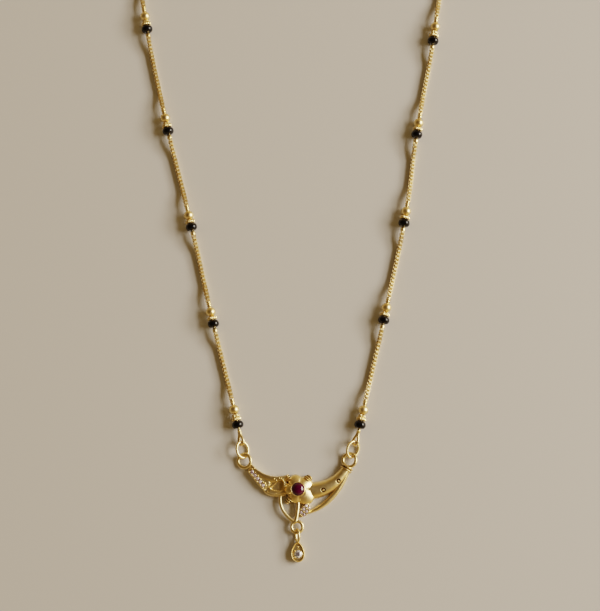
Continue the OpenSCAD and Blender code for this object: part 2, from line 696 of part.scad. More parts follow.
module end_cap(s) {
    color(GOLD) in_clasp(s) {
        translate([cap_x, 0, 0]) rotate([0, 90, 0]) difference() {
            cylinder(h = cap_len, d = cap_d, $fn = 32);
            translate([0, 0, cap_len - chain_in_cap])
                cylinder(h = cap_len, r = chain_r + gap, $fn = 32);
        }
        translate([eye_x, 0, 0]) rotate([-end_ring_tilt, 0, 0]) oval(eye_r, eye_r, eye_wire, 16);
    }
}

// Chains: a tube for each run of box chain, from one cluster to the next and round to the cap

function bend4(p, t) = let (u = 1 - t)
    u * u * u * p[0] + 3 * u * u * t * p[1] + 3 * u * t * t * p[2] + t * t * t * p[3];
function run_from(s, k) = bead_at(s, k) + polar(high_end(s, k) + gap, cluster_turn(s, k));
function run_to(s, k) = bead_at(s, k) - polar(low_end + gap, cluster_turn(s, k));
// A smooth run between two points with a set direction at each
function run(a, turn_a, b, turn_b) = let (h = norm(b - a) / 3)
    [a, a + polar(h, turn_a), b - polar(h, turn_b), b];
function run_points(p, shares) = [for (t = shares) bend4(p, t)];
// Shares of a run between clusters, and of the last run up to the back bend, where rings stand
RUN_SHARES = [0, 0.13, 0.27, 0.5, 0.73, 0.87, 1];
LAST_SHARES = [0, 0.04, 0.09, 0.35, 0.65, 1];
function back_arc(s) = let (flip = s == 0 ? -1 : 1, steps = 7)
    concat([for (i = [1:steps]) let (a = i * 90 / steps)
        [flip * (clasp_half + back_r * cos(a)), back_y + back_r * sin(a)]],
        [[flip * (clasp_half - chain_in_cap + gap), back_y + back_r]]);

// Distance run along a list of points, up to point n
function gone(p, n) = n < 1 ? 0 : norm(p[n] - p[n - 1]) + gone(p, n - 1);
function dip(d) = let (x = min(1, max(0, d / droop_len))) 1 - x * x * (3 - 2 * x);
// Lifts a flat list of points to the heights of a chain held up at its two ends, with its last
// stretch of length held inside a cap
function laid(p, z0, z1, held = 0) = let (all = gone(p, len(p) - 1) - held)
    [for (i = [0:len(p) - 1]) let (d = gone(p, i))
        concat(p[i], chain_r + (z0 - chain_r) * dip(d) + (z1 - chain_r) * dip(all - d))];

// A chain's tube: its first and last rings stand square to the level ways given
module chain_tube(path, first, last) {
    m = len(path) - 1;
    loft([for (i = [0:m]) wire_ring(path[i], i == 0 ? concat(polar(1, first), 0)
        : i == m ? concat(polar(1, last), 0) : way_at(path, i, false), chain_r, 8, [0, 0, 1])]);
}

module chain(s) {
    color(GOLD) {
        for (k = [0:CLUSTERS - 2]) {
            from = cluster_turn(s, k);
            to = cluster_turn(s, k + 1);
            chain_tube(laid(run_points(run(run_from(s, k), from, run_to(s, k + 1), to), RUN_SHARES),
                axis_z, axis_z), from, to);
        }
        last = CLUSTERS - 1;
        from = cluster_turn(s, last);
        chain_tube(laid(concat(run_points(run(run_from(s, last), from, back_start(s), 90),
            LAST_SHARES), back_arc(s)), axis_z, clasp_z, chain_in_cap - gap),
            from, s == 0 ? 0 : 180);
    }
}

pendant_frame();
ruby();
wing_stones();
lower_stones();
drop_frame();
drop_stone();
clasp_hook();
for (s = [0:1]) {
    link(s);
    chain(s);
    end_cap(s);
    end_ring(s);
    for (k = [0:CLUSTERS - 1]) {
        pin(s, k);
        black_bead(s, k);
        spacer(s, k);
        ball(s, k);
    }
}
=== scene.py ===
# %% [markdown]
# # A gold mangalsutra on a pale table
#
# A mangalsutra is a wedding necklace: a cast gold pendant hangs between two fine box chains, and small
# clusters of a black bead, a milled gold spacer and a gold ball sit along them. The solids of the
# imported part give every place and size. This script dresses them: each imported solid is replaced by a
# finer mesh with a gold, glass or stone material, and nothing is moved.

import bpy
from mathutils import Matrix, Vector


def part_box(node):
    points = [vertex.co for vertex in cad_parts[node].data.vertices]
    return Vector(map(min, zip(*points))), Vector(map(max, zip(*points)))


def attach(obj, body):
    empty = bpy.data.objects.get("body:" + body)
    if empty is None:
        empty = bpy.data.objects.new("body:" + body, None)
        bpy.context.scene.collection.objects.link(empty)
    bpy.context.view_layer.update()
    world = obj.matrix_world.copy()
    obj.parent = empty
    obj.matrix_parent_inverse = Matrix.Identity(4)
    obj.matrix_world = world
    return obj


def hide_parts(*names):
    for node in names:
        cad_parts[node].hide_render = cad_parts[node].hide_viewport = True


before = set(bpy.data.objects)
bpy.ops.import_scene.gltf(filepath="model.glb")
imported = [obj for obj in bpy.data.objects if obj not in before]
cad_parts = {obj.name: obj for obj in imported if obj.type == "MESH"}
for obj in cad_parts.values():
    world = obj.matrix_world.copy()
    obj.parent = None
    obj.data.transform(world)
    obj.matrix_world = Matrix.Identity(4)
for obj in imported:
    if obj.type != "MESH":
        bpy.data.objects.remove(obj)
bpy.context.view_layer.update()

# %% [markdown]
# ## Millimetres in, metres out
#
# Jewellery is drawn in millimetres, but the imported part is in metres. Every mesh below is therefore
# built in millimetres, and only `add_piece` scales it down as it becomes an object. The object itself
# stays at the origin, unturned and unscaled, because its place is in its mesh.

# %% Modules and the unit
from math import asin, atan2, cos, pi, radians, sin, sqrt, tau

import bmesh
import bpy
from mathutils import Matrix, Vector
from mathutils.bvhtree import BVHTree

MM = 0.001
UP = Vector((0, 0, 1))


def centre(node):
    """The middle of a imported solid's box, in millimetres."""
    low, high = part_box(node)
    return (low + high) / 2 / MM


def at(point):
    """A place at a point, unturned."""
    return Matrix.Translation(point)


def polar(radius, turn):
    """A flat vector of a length, turned by degrees from the X axis."""
    return Vector((radius * cos(radians(turn)), radius * sin(radians(turn)), 0))


# %% From a bmesh to a piece
def mesh_of(bm, name):
    """The mesh of a bmesh, which is used up."""
    mesh = bpy.data.meshes.new(name)
    bm.to_mesh(mesh)
    bm.free()
    return mesh


def shown(name, data):
    """An object for a mesh, a light or the camera, put into the scene."""
    thing = bpy.data.objects.new(name, data)
    bpy.context.scene.collection.objects.link(thing)
    return thing


def add_piece(bm, name, material, node, sharp=40):
    """Turn a bmesh in millimetres into a piece in metres that rides on the root body."""
    bmesh.ops.scale(bm, vec=(MM, MM, MM), verts=bm.verts)
    mesh = mesh_of(bm, name)
    mesh.shade_smooth()
    mesh.set_sharp_from_angle(angle=radians(sharp))
    mesh.materials.append(material)
    piece = shown(name, mesh)
    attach(piece, "root")
    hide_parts(node)
    print(f"{name}: {len(mesh.polygons)} faces")


def put(target, part, place=Matrix()):
    """Add a copy of a part to a bigger bmesh, moved to its place."""
    copy = part.copy()
    bmesh.ops.transform(copy, matrix=place, verts=copy.verts)
    carrier = mesh_of(copy, "carrier")
    target.from_mesh(carrier)
    bpy.data.meshes.remove(carrier)


# %% [markdown]
# ## Two ways to make nearly everything
#
# Jewellery is mostly drawn wire and turned beads. A wire is a round section that travels along a path:
# the section is extruded edge by edge, and each new ring is moved to stand square to the path. A bead
# is a half outline spun round its axis. Both give clean strips of four-sided faces that shade smoothly.


# %% Carrying a section along a path
def stand(path, radii, closed=False):
    """A matrix at each point of a path: X to the side, Y up, Z ahead, scaled to (side, up) radii."""
    count = len(path)
    places = []
    for i, point in enumerate(path):
        after = path[(i + 1) % count] if closed or i < count - 1 else path[i]
        before = path[i - 1] if closed or i > 0 else path[i]
        way = (after - before).normalized()
        side = UP.cross(way).normalized()
        turn = Matrix((side, way.cross(side), way)).transposed().to_4x4()
        places.append(at(point) @ turn @ Matrix.Diagonal((*radii[i], 1, 1)))
    return places


def carry(section, places, closed=False):
    """Extrude a ring of (x, y) points from place to place, and close or cap its ends."""
    bm = bmesh.new()
    ring = [bm.verts.new((x, y, 0)) for x, y in section]
    edges = [bm.edges.new(pair) for pair in zip(ring, ring[1:] + ring[:1])]
    first = list(edges)
    bmesh.ops.transform(bm, matrix=places[0], verts=ring)
    for here, there in zip(places, places[1:]):
        step = bmesh.ops.extrude_edge_only(bm, edges=edges)["geom"]
        moved = [g for g in step if isinstance(g, bmesh.types.BMVert)]
        edges = [g for g in step if isinstance(g, bmesh.types.BMEdge)]
        bmesh.ops.transform(bm, matrix=there @ here.inverted(), verts=moved)
    if closed:
        bmesh.ops.bridge_loops(bm, edges=first + edges)
    else:
        bmesh.ops.edgeloop_fill(bm, edges=first)
        bmesh.ops.edgeloop_fill(bm, edges=edges)
    bmesh.ops.recalc_face_normals(bm, faces=bm.faces)
    return bm


def disc(sides):
    """A round section of radius 1."""
    return [(cos(tau * j / sides), sin(tau * j / sides)) for j in range(sides)]


def wire(path, thickness, closed=False, sides=12):
    """Round wire along a path."""
    return carry(disc(sides), stand(path, [(thickness / 2, thickness / 2)] * len(path), closed), closed)


def oval(a, b, thickness, steps=48, sides=12):
    """A closed oval of wire in the XY plane, with half length a and half width b."""
    path = [Vector((a * x, b * y, 0)) for x, y in disc(steps)]
    return wire(path, thickness, closed=True, sides=sides)


def spun(outline, steps=48, closed=False):
    """Spin an outline of (radius, height) points round the Z axis."""
    bm = bmesh.new()
    verts = [bm.verts.new((radius, 0, height)) for radius, height in outline]
    edges = [bm.edges.new(pair) for pair in zip(verts, verts[1:])]
    if closed:
        edges.append(bm.edges.new((verts[-1], verts[0])))
    bmesh.ops.spin(bm, geom=verts + edges, cent=(0, 0, 0), axis=UP, angle=tau, steps=steps, use_merge=True)
    bmesh.ops.remove_doubles(bm, verts=bm.verts, dist=1e-5)
    bmesh.ops.recalc_face_normals(bm, faces=bm.faces)
    return bm


def ball(diameter):
    """A round ball."""
    bm = bmesh.new()
    bmesh.ops.create_uvsphere(bm, u_segments=24, v_segments=12, radius=diameter / 2)
    return bm


# %% [markdown]
# ## The camera
#
# The photograph looks almost straight down, from 80 degrees above the table, and only the lower part
# of the loop is in view. The camera aims at a point between the two chains. A long lens keeps the
# chains from splaying.

# %% Camera
CAMERA_RISE = radians(80)
CAMERA_FAR = 0.340
CAMERA_AIM = Vector((2.5, -43.0, 0)) * MM
SENSOR_WIDTH = 36
LENS = 82.794

camera_data = bpy.data.cameras.new("camera")
camera_data.sensor_fit = "HORIZONTAL"
camera_data.sensor_width = SENSOR_WIDTH
camera_data.lens = LENS
camera_data.clip_start = 0.01
camera = shown("camera", camera_data)
camera.location = CAMERA_AIM + CAMERA_FAR * Vector((0, -cos(CAMERA_RISE), sin(CAMERA_RISE)))
camera.rotation_euler = (pi / 2 - CAMERA_RISE, 0, 0)
bpy.context.scene.camera = camera
print("camera at", [round(x, 4) for x in camera.location])

# %% [markdown]
# ## Small helpers for materials
#
# Every material here is drawn by nodes: noise gives a slow drift of tone and a fine grain, and a map
# range turns it into a colour, a roughness or a bump of a real depth.


# %% Node helpers
def fresh_material(name):
    """A new material, its Principled shader and its node tree."""
    material = bpy.data.materials.new(name)
    material.use_nodes = True
    tree = material.node_tree
    return material, tree.nodes["Principled BSDF"], tree


def noise(tree, size_mm, detail=2.0):
    """Noise on Object coordinates whose spots are about a given size."""
    where = tree.nodes.new("ShaderNodeTexCoord")
    spots = tree.nodes.new("ShaderNodeTexNoise")
    spots.inputs["Scale"].default_value = 1 / (size_mm * MM)
    spots.inputs["Detail"].default_value = detail
    tree.links.new(where.outputs["Object"], spots.inputs["Vector"])
    return spots.outputs["Fac"]


def ranged(tree, value, low, high, start=0.3, end=0.7):
    """Map a value to a range. Noise mostly stays between 0.3 and 0.7."""
    span = tree.nodes.new("ShaderNodeMapRange")
    span.inputs["From Min"].default_value = start
    span.inputs["From Max"].default_value = end
    span.inputs["To Min"].default_value = low
    span.inputs["To Max"].default_value = high
    tree.links.new(value, span.inputs["Value"])
    return span.outputs["Result"]


def mixed(tree, value, one, two):
    """Two colours mixed by a value."""
    mix = tree.nodes.new("ShaderNodeMix")
    mix.data_type = "RGBA"
    mix.inputs["A"].default_value = (*one, 1)
    mix.inputs["B"].default_value = (*two, 1)
    tree.links.new(value, mix.inputs["Factor"])
    return mix.outputs["Result"]


def bumped(tree, value, depth_mm):
    """A bump of a real depth from a value."""
    bump = tree.nodes.new("ShaderNodeBump")
    bump.inputs["Strength"].default_value = 1.0
    bump.inputs["Distance"].default_value = depth_mm * MM
    tree.links.new(value, bump.inputs["Height"])
    return bump.outputs["Normal"]


# %% [markdown]
# ## Table and light
#
# Gold has almost no colour of its own from a distance: it shows what is around it. So the light
# matters as much as the metal. A low window with two panes, on the right, gives the highlights and the
# soft brown shadows to the left. A weak warm light from the left stands for the walls, and lights
# without a highlight. The room is warm and dim: pale near the horizon, dark overhead, and darker to the
# left, so that every rounded surface shows a dark band between two bright ones.

# %% Table
TABLE_SIZE = 14
bm = bmesh.new()
bmesh.ops.create_grid(bm, x_segments=1, y_segments=1, size=TABLE_SIZE / 2)
table = shown("table", mesh_of(bm, "table"))
table_paint, table_shader, _ = fresh_material("pale_table")
table_shader.inputs["Base Color"].default_value = (0.62, 0.6, 0.58, 1)
table_shader.inputs["Roughness"].default_value = 0.6
table.data.materials.append(table_paint)


# %% Lights
def soft_light(name, turn, rise, far, wide, tall, power, tint, mirrored=True):
    """A light with straight sides that faces the middle of the view, with or without a highlight."""
    data = bpy.data.lights.new(name, "AREA")
    data.shape = "RECTANGLE"
    data.size = wide
    data.size_y = tall
    data.energy = power
    data.color = tint
    light = shown(name, data)
    way = polar(cos(radians(rise)), turn) + sin(radians(rise)) * UP
    light.location = CAMERA_AIM + far * way
    light.rotation_euler = way.to_track_quat("Z", "Y").to_euler()
    light.visible_camera = False
    light.visible_glossy = mirrored


WINDOW_TINT = (1.0, 0.94, 0.85)
ROOM_TINT = (1.0, 0.8, 0.5)
for pane, rise, power in (("window_low_pane", 22, 15.0), ("window_high_pane", 37, 12.0)):
    soft_light(pane, turn=8, rise=rise, far=1.4, wide=0.95, tall=0.28, power=power, tint=WINDOW_TINT)
soft_light("room", turn=165, rise=38, far=1.2, wide=0.8, tall=0.8, power=1.2, tint=ROOM_TINT, mirrored=False)

# %% The warm room
HORIZON = (0.78, 0.5, 0.17)
ZENITH = (0.09, 0.052, 0.012)
DIM_SIDE = 0.26
BRIGHT_SIDE = 1.45
world = bpy.data.worlds.new("warm_room")
world.use_nodes = True
room = world.node_tree
sky = room.nodes["Background"]
way_to = room.nodes.new("ShaderNodeTexCoord")
axes = room.nodes.new("ShaderNodeSeparateXYZ")
room.links.new(way_to.outputs["Generated"], axes.inputs["Vector"])
rising = ranged(room, axes.outputs["Z"], 0, 1, start=0.05, end=0.8)
room.links.new(mixed(room, rising, HORIZON, ZENITH), sky.inputs["Color"])
brighter_right = ranged(room, axes.outputs["X"], DIM_SIDE, BRIGHT_SIDE, start=-1, end=1)
room.links.new(brighter_right, sky.inputs["Strength"])
bpy.context.scene.world = world
bpy.context.scene.view_settings.view_transform = "Filmic"
bpy.context.scene.view_settings.look = "Medium High Contrast"

# %% [markdown]
# ## Gold in three finishes, and a dark gold of painted shade
#
# All are the same high-carat alloy, a fully metallic surface. What differs is the skin. The cast flower,
# the horn and the balls are satin: fine grit left a silky glow. Wires, rings and granules are polished,
# and a little worn. The chain lies between the two. A fourth, dark gold is painted shade, laid in the
# grooves and gaps where shadow falls. Noise on Object coordinates gives the grain a real size, from a
# tenth to half a millimetre, and lets the tone drift slowly, as handmade gold does.

# %% Gold
TONE_SPOTS = 2.5
WEAR_SPOTS = 0.6


def gold(name, light, deep, smooth, dull, grain_mm, depth_mm):
    """Gold that drifts from a light tone to a deeper one, with a grain of its own."""
    material, shader, tree = fresh_material(name)
    shader.inputs["Metallic"].default_value = 1.0
    tone = ranged(tree, noise(tree, TONE_SPOTS), 0, 1)
    tree.links.new(mixed(tree, tone, light, deep), shader.inputs["Base Color"])
    tree.links.new(ranged(tree, noise(tree, WEAR_SPOTS), smooth, dull), shader.inputs["Roughness"])
    tree.links.new(bumped(tree, noise(tree, grain_mm, 4.0), depth_mm), shader.inputs["Normal"])
    return material


polished = gold("polished_gold", (0.96, 0.77, 0.43), (0.91, 0.7, 0.34), 0.31, 0.41, 0.4, 0.003)
satin = gold("satin_gold", (0.95, 0.765, 0.425), (0.92, 0.71, 0.365), 0.34, 0.42, 0.09, 0.003)
linked = gold("chain_gold", (0.94, 0.745, 0.42), (0.88, 0.665, 0.33), 0.32, 0.44, 0.5, 0.002)
# A dark gold of painted shade, laid in the grooves, the gap between the bands and the sepals' ground
shade_gold = gold("painted_shade_gold", (0.19, 0.115, 0.045), (0.1, 0.06, 0.022), 0.4, 0.55, 0.2, 0.003)

# %% [markdown]
# ## Glass, ruby and cut stones
#
# The black beads are opaque glass: a nearly black base under a very smooth surface, so that the only
# light in them is a small sharp highlight. The ruby is a deep red cabochon that lets a little light in.
# The cut stones are clear, and light comes back out of a real one from a few facets at a time. So here
# each facet carries a painted reflection of its own: a share of brightness painted into its colour.


# %% Glass and stones
def black_glass_material():
    """Black glass, a little worn."""
    material, shader, tree = fresh_material("black_glass")
    tone = ranged(tree, noise(tree, 0.8), 0, 1)
    nearly_black = mixed(tree, tone, (0.002, 0.002, 0.003), (0.006, 0.005, 0.007))
    tree.links.new(nearly_black, shader.inputs["Base Color"])
    tree.links.new(ranged(tree, noise(tree, 0.5), 0.05, 0.12), shader.inputs["Roughness"])
    shader.inputs["IOR"].default_value = 1.55
    shader.inputs["Specular IOR Level"].default_value = 0.3
    return material


def ruby_material():
    """A deep red stone with faint silk in it."""
    material, shader, tree = fresh_material("ruby")
    silk = ranged(tree, noise(tree, 0.9, 3.0), 0, 1)
    tree.links.new(mixed(tree, silk, (0.1, 0.0, 0.042), (0.05, 0.0, 0.021)), shader.inputs["Base Color"])
    shader.inputs["Roughness"].default_value = 0.04
    shader.inputs["IOR"].default_value = 1.76
    shader.inputs["Specular IOR Level"].default_value = 0.35
    shader.inputs["Transmission Weight"].default_value = 0.2
    return material


def stone_material(name, dark, light):
    """A cut stone whose facets carry painted reflections, from a dark colour to a light one."""
    material, shader, tree = fresh_material(name)
    glint = tree.nodes.new("ShaderNodeAttribute")
    glint.attribute_name = "glint"
    bright = ranged(tree, glint.outputs["Fac"], 0, 1, start=0.1, end=0.75)
    tree.links.new(mixed(tree, bright, dark, light), shader.inputs["Base Color"])
    tree.links.new(ranged(tree, noise(tree, 0.3), 0.02, 0.08), shader.inputs["Roughness"])
    shader.inputs["IOR"].default_value = 2.2
    return material


black_glass = black_glass_material()
ruby_red = ruby_material()
# The stones' own tints, painted darker and lighter facet by facet as painted reflections
clear_stone = stone_material("clear_stone", (0.14, 0.12, 0.14), (1.0, 0.98, 0.98))
pink_stone = stone_material("pink_stone", (0.16, 0.08, 0.13), (1.0, 0.88, 0.94))

# %% [markdown]
# ## Sizes of the pendant
#
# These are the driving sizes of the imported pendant, in millimetres from the ruby's axis. Bends are
# quadratic curves through three points, so a horn or a rail needs only its two ends and the point that
# pulls it sideways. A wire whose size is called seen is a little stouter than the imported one.

# %% Pendant sizes
RUBY_AT = Vector((2, -88, 0))
RUBY_D = 3.0
RUBY_DOME = 0.9
STONE_GAP = 0.04
BEZEL_WALL = 0.26
BEZEL_H = 2.9
GIRDLE_Z = BEZEL_H - 0.35
RING_D = 3.9
RING_WIRE = 0.66
RING_SEEN = 0.78
RING_R = (RING_D - RING_WIRE) / 2
RING_Z = 1.0
RING_TILT = 20
WING_RING_AT = Vector((-12.9, 6.8, 0))
HORN_RING_AT = Vector((12.4, 7.0, 0))
SIDES = ("left", "right")
CAST_RING_AT = {"left": WING_RING_AT, "right": HORN_RING_AT}
HANG_TURN = {"left": 100, "right": 72}
PETAL_R = 1.7
PETAL_RING = 1.95
SEPAL_H = 1.2
STEM_WIRE = 0.82
STEM_Z = 1.05
DROP_RING_AT = Vector((-0.2, -8.9, 0))
DROP_RING_D = 3.3
DROP_RING_R = (DROP_RING_D - RING_WIRE) / 2
HORN_W = 4.1
HORN_H = 1.9


def turned(point, turn):
    """A place at a point, turned about the Z axis."""
    return at(point) @ Matrix.Rotation(radians(turn), 4, "Z")


at_ruby = at(RUBY_AT)


def placed(bm, place=at_ruby):
    """The same bmesh, moved to its place."""
    bmesh.ops.transform(bm, matrix=place, verts=bm.verts)
    return bm


def bend(points, share):
    """A point on a quadratic bend."""
    a, b, c = points
    return (1 - share) ** 2 * a + 2 * share * (1 - share) * b + share ** 2 * c


def looked_up(rows, share, column):
    """A value between the rows of a table, for a share of the way."""
    for low, high in zip(rows, rows[1:]):
        if share <= high[0]:
            part = (share - low[0]) / (high[0] - low[0])
            return low[column] + (high[column] - low[column]) * part
    return rows[-1][column]


# %% [markdown]
# ## Cast bars
#
# The horn, the blade and the rails are all cast bars: a domed section that widens and narrows along a
# bend. The section is a rounded box, flat underneath. A table gives, for a few shares of the way, the
# share of the full width and of the full height.


# %% Cast bars
def domed(roundness=3.0, skew=0.0, sides=36):
    """A section with rounded shoulders and a flat bottom, one unit to each side and one high.

    Skewed, its crest lies to one side.
    """
    section = []
    for j in range(sides):
        turn = tau * j / sides
        x = abs(cos(turn)) ** (2 / roundness) * (1 if cos(turn) > 0 else -1)
        y = abs(sin(turn)) ** (2 / roundness)
        section.append((x + skew * y * (1 - x * x), y if sin(turn) > 0 else -0.04 * y))
    return section


def bar(points, width, height, rows, roundness=3.0, skew=0.0, steps=40):
    """A cast bar along a bend, from a table of (share of way, of width, of height)."""
    shares = [i / steps for i in range(steps + 1)]
    path = [bend(points, t) + Vector((0, 0, 0.04 * height)) for t in shares]
    radii = [(looked_up(rows, t, 1) * width / 2, looked_up(rows, t, 2) * height * 0.98) for t in shares]
    return carry(domed(roundness, skew), stand(path, radii))


HORN_ROWS = [(0, 0.85, 0.9), (0.14, 1, 1), (0.3, 0.95, 1), (0.45, 0.87, 0.98), (0.6, 0.78, 0.95),
             (0.75, 0.68, 0.9), (0.9, 0.61, 0.86), (1, 0.57, 0.82)]
BLADE_ROWS = [(0, 0.4, 0.6), (0.08, 0.58, 0.75), (0.2, 0.78, 0.9), (0.4, 0.95, 1), (0.6, 1, 1),
              (0.8, 0.95, 1), (0.92, 0.9, 1.05), (1, 0.8, 1.1)]
RAIL_ROWS = [(0, 0.56, 0.85), (0.1, 0.68, 0.9), (0.3, 0.88, 0.97), (0.5, 1, 1), (0.7, 0.98, 1),
             (0.86, 0.9, 1), (1, 0.8, 0.95)]
LOWER_RAIL_ROWS = [(0, 0.8, 0.85), (0.25, 0.95, 0.95), (0.5, 1, 1), (0.75, 1, 1), (1, 0.9, 1)]
ROW_ROWS = [(0, 0.55, 0.85), (0.07, 0.9, 1), (0.2, 1, 1), (0.93, 1, 1), (1, 0.7, 0.92)]
BAND_ROWS = [(0, 0.86, 0.8), (0.15, 0.94, 0.92), (0.35, 1, 1), (0.65, 1, 1), (0.85, 0.94, 0.92),
             (1, 0.86, 0.8)]

HORN_BEND = [Vector((1.24, -0.35, 0)), Vector((8.3, -0.7, 0)), HORN_RING_AT - polar(RING_R + 0.1, 72)]
BLADE_BEND = [Vector((2.23, -5.6, 0)), Vector((8.87, -3.43, 0)), HORN_RING_AT - polar(RING_R + 1, 80)]
RAIL_BEND = [WING_RING_AT + polar(RING_R - 0.05, -38), Vector((-7.8, 0.55, 0)), Vector((-2.2, 2.72, 0))]
LOWER_RAIL_BEND = [Vector((-8.13, 0.07, 0)), Vector((-6.97, -1.9, 0)), Vector((-2.84, -1.16, 0))]
ROW_FROM = WING_RING_AT + polar(RING_R + 0.65, -58)
ROW_TO = Vector((-7.74, 0.2, 0))
ROW_WAY = (ROW_TO - ROW_FROM).normalized()

# %% [markdown]
# ## The flower, its sepals and the small leaves
#
# The flower is one skin. Its outline is that of five round petals, blended where two meet. From the
# bezel it slopes down like a low cone and rolls over at the edge, and a soft crease runs between the
# petals. Three small sepals crossed by raised ribs show between them.

# %% Petals, sepals and leaves
# Each petal's direction and its size as a share of the plain one
PETALS = [(108, 1), (34, 1.08), (-40, 1.24), (-108, 0.93), (180, 0.88)]
BLEND = 8
CREASE_SPREAD = 0.9
CREASE_DEPTH = 0.34
FLOWER_REACH = 3.6
FLOWER_TOP = 2.45
FLOWER_EDGE = 1.0
# Each sepal's direction and half its width
SEPALS = [(46, 0.95), (130, 0.55), (230, 0.6)]
SEPAL_MIDDLE = 3.4
SEPAL_HALF_LEN = 0.95
# Each rib's distance from the ruby's axis, its half length as a share of the sepal's, and its height
RIBS = [(3.22, 1.0, 1.95), (3.74, 1.0, 1.75), (4.24, 0.8, 1.5)]
# A rib's half width and half height, and how far its ends lie behind and below its middle
RIB_R = (0.17, 0.3)
RIB_BOW = 0.15
RIB_FALL = 0.3


def petal_reaches(turn):
    """How far each petal reaches in a direction, the farthest first."""
    reaches = [0, 0]
    for middle, size in PETALS:
        off = radians(turn - middle)
        side = PETAL_RING * sin(off)
        if cos(off) > 0 and abs(side) < PETAL_R:
            reaches.append(size * (PETAL_RING * cos(off) + sqrt(PETAL_R ** 2 - side ** 2)))
    return sorted(reaches, reverse=True)


def flower():
    """The flower: a ball reshaped, its upper half into the sloping petals and its lower half flat."""
    bm = bmesh.new()
    bmesh.ops.create_uvsphere(bm, u_segments=180, v_segments=64, radius=1)
    start = (RUBY_D / 2 + 0.2) / FLOWER_REACH
    for vert in bm.verts:
        share = min(1, vert.co.xy.length)
        turn = atan2(vert.co.y, vert.co.x) * 180 / pi
        reaches = petal_reaches(turn)
        edge = sum(reach ** BLEND for reach in reaches) ** (1 / BLEND)
        crease = max(0, 1 - (reaches[0] - reaches[1]) / CREASE_SPREAD) ** 2
        way = polar(1, turn)
        outward = max(0, (share - start) / (1 - start))
        high = FLOWER_EDGE + (FLOWER_TOP - FLOWER_EDGE) * sqrt(max(0, 1 - outward))
        high -= CREASE_DEPTH * crease * min(1, 2 * outward)
        vert.co = way * share * edge + UP * (high if vert.co.z >= 0 else 0)
    return bm


def flat(corners):
    """Corners (x, y) as points on the table."""
    return [Vector((x, y, 0)) for x, y in corners]


def plate(outline, base, height):
    """A flat plate over an outline."""
    bm = bmesh.new()
    face = bm.faces.new([bm.verts.new(point + base * UP) for point in outline])
    top = bmesh.ops.extrude_face_region(bm, geom=[face])["geom"]
    bmesh.ops.translate(bm, vec=height * UP, verts=[g for g in top if isinstance(g, bmesh.types.BMVert)])
    bmesh.ops.recalc_face_normals(bm, faces=bm.faces)
    return bm


def lens(length, width, height, steps=28):
    """A plate in the shape of a leaf: two equal arcs, with the length along X."""
    radius = (length ** 2 + width ** 2) / (4 * width)
    half = asin(length / 2 / radius)
    turns = [-half + 2 * half * i / steps for i in range(steps + 1)]
    upper = [(radius * sin(turn), radius * cos(turn) - radius + width / 2) for turn in turns]
    return plate(flat(upper + [(x, -y) for x, y in reversed(upper[1:-1])]), 0, height)


def rounded(corners, rounds=2):
    """A closed outline with its corners cut off, and cut off again."""
    for _ in range(rounds):
        sides = list(zip(corners, corners[1:] + corners[:1]))
        corners = [p.lerp(q, share) for p, q in sides for share in (0.25, 0.75)]
    return corners


def level(line, rounds=6):
    """A closed line whose height is evened out along its way."""
    for _ in range(rounds):
        line = [Vector((q.x, q.y, (p.z + q.z + r.z) / 3))
                for p, q, r in zip(line[-1:] + line[:-1], line, line[1:] + line[:1])]
    return line


def sepal(turn, half):
    """The ground of a small leaf that points away from the ruby."""
    outline = [(SEPAL_MIDDLE + SEPAL_HALF_LEN * x, 1.02 * half * y) for x, y in disc(32)]
    return placed(plate(flat(outline), 0, SEPAL_H), turned(Vector(), turn))


def ribs(turn, half):
    """The ribs of a sepal: short bars across it, bent outwards and thin at both ends."""
    bm = bmesh.new()
    for reach, long, rise in RIBS:
        path = []
        radii = []
        for j in range(13):
            across = j / 6 - 1
            back = RIB_BOW * across ** 2
            path.append(Vector((reach - back, across * long * half, rise - RIB_FALL * across ** 2)))
            fat = sqrt(1 - 0.85 * across ** 2)
            radii.append((RIB_R[0] * fat, RIB_R[1] * fat))
        put(bm, carry(disc(14), stand(path, radii)))
    return placed(bm, turned(Vector(), turn))


# %% [markdown]
# ## Fusing the casting
#
# A casting is one piece of metal, so its parts may not show as separate shells. All bars, petals and
# leaves go into one mesh, and a voxel remesh wraps them in a single skin. A little smoothing then
# rounds every inner corner, as wax and casting do. The leaf's window is cut before a second fusing, so
# its edge is soft. Seats and holes are cut afterwards, so their edges stay crisp.


# %% Fusing and cutting
def after_modifiers(thing):
    """A bmesh of what an object's modifiers make of it. The object is removed."""
    graph = bpy.context.evaluated_depsgraph_get()
    mesh = bpy.data.meshes.new_from_object(thing.evaluated_get(graph))
    bm = bmesh.new()
    bm.from_mesh(mesh)
    bpy.data.meshes.remove(mesh)
    bpy.data.objects.remove(thing)
    return bm


def fused(bm, voxel, rounds, keep):
    """One skin over all the overlapping shells in a bmesh, smoothed and thinned."""
    thing = shown("casting", mesh_of(bm, "casting"))
    skin = thing.modifiers.new("skin", "REMESH")
    skin.mode = "VOXEL"
    skin.voxel_size = voxel
    soften = thing.modifiers.new("soften", "SMOOTH")
    soften.factor = 0.5
    soften.iterations = rounds
    thin = thing.modifiers.new("thin", "DECIMATE")
    thin.ratio = keep
    return after_modifiers(thing)


def cut(bm, cutter):
    """Take one closed shape, or several that stay apart, out of another."""
    thing = shown("casting", mesh_of(bm, "casting"))
    tool = shown("cutter", mesh_of(cutter, "cutter"))
    carve = thing.modifiers.new("carve", "BOOLEAN")
    carve.operation = "DIFFERENCE"
    carve.solver = "MANIFOLD"
    carve.object = tool
    carved = after_modifiers(thing)
    bpy.data.objects.remove(tool)
    return carved


# %% [markdown]
# ## The casting
#
# Two things are cast in one here: the satin forms, and the thin polished parts that join them, such as
# the blade, the open leaf of wire and the three rings. They are fused as two skins that overlap at the
# joints, because each has its own finish. In the left wing two low plates join the rail, the bar for
# the row of stones, the pierced leaf and the flower into one piece of metal.

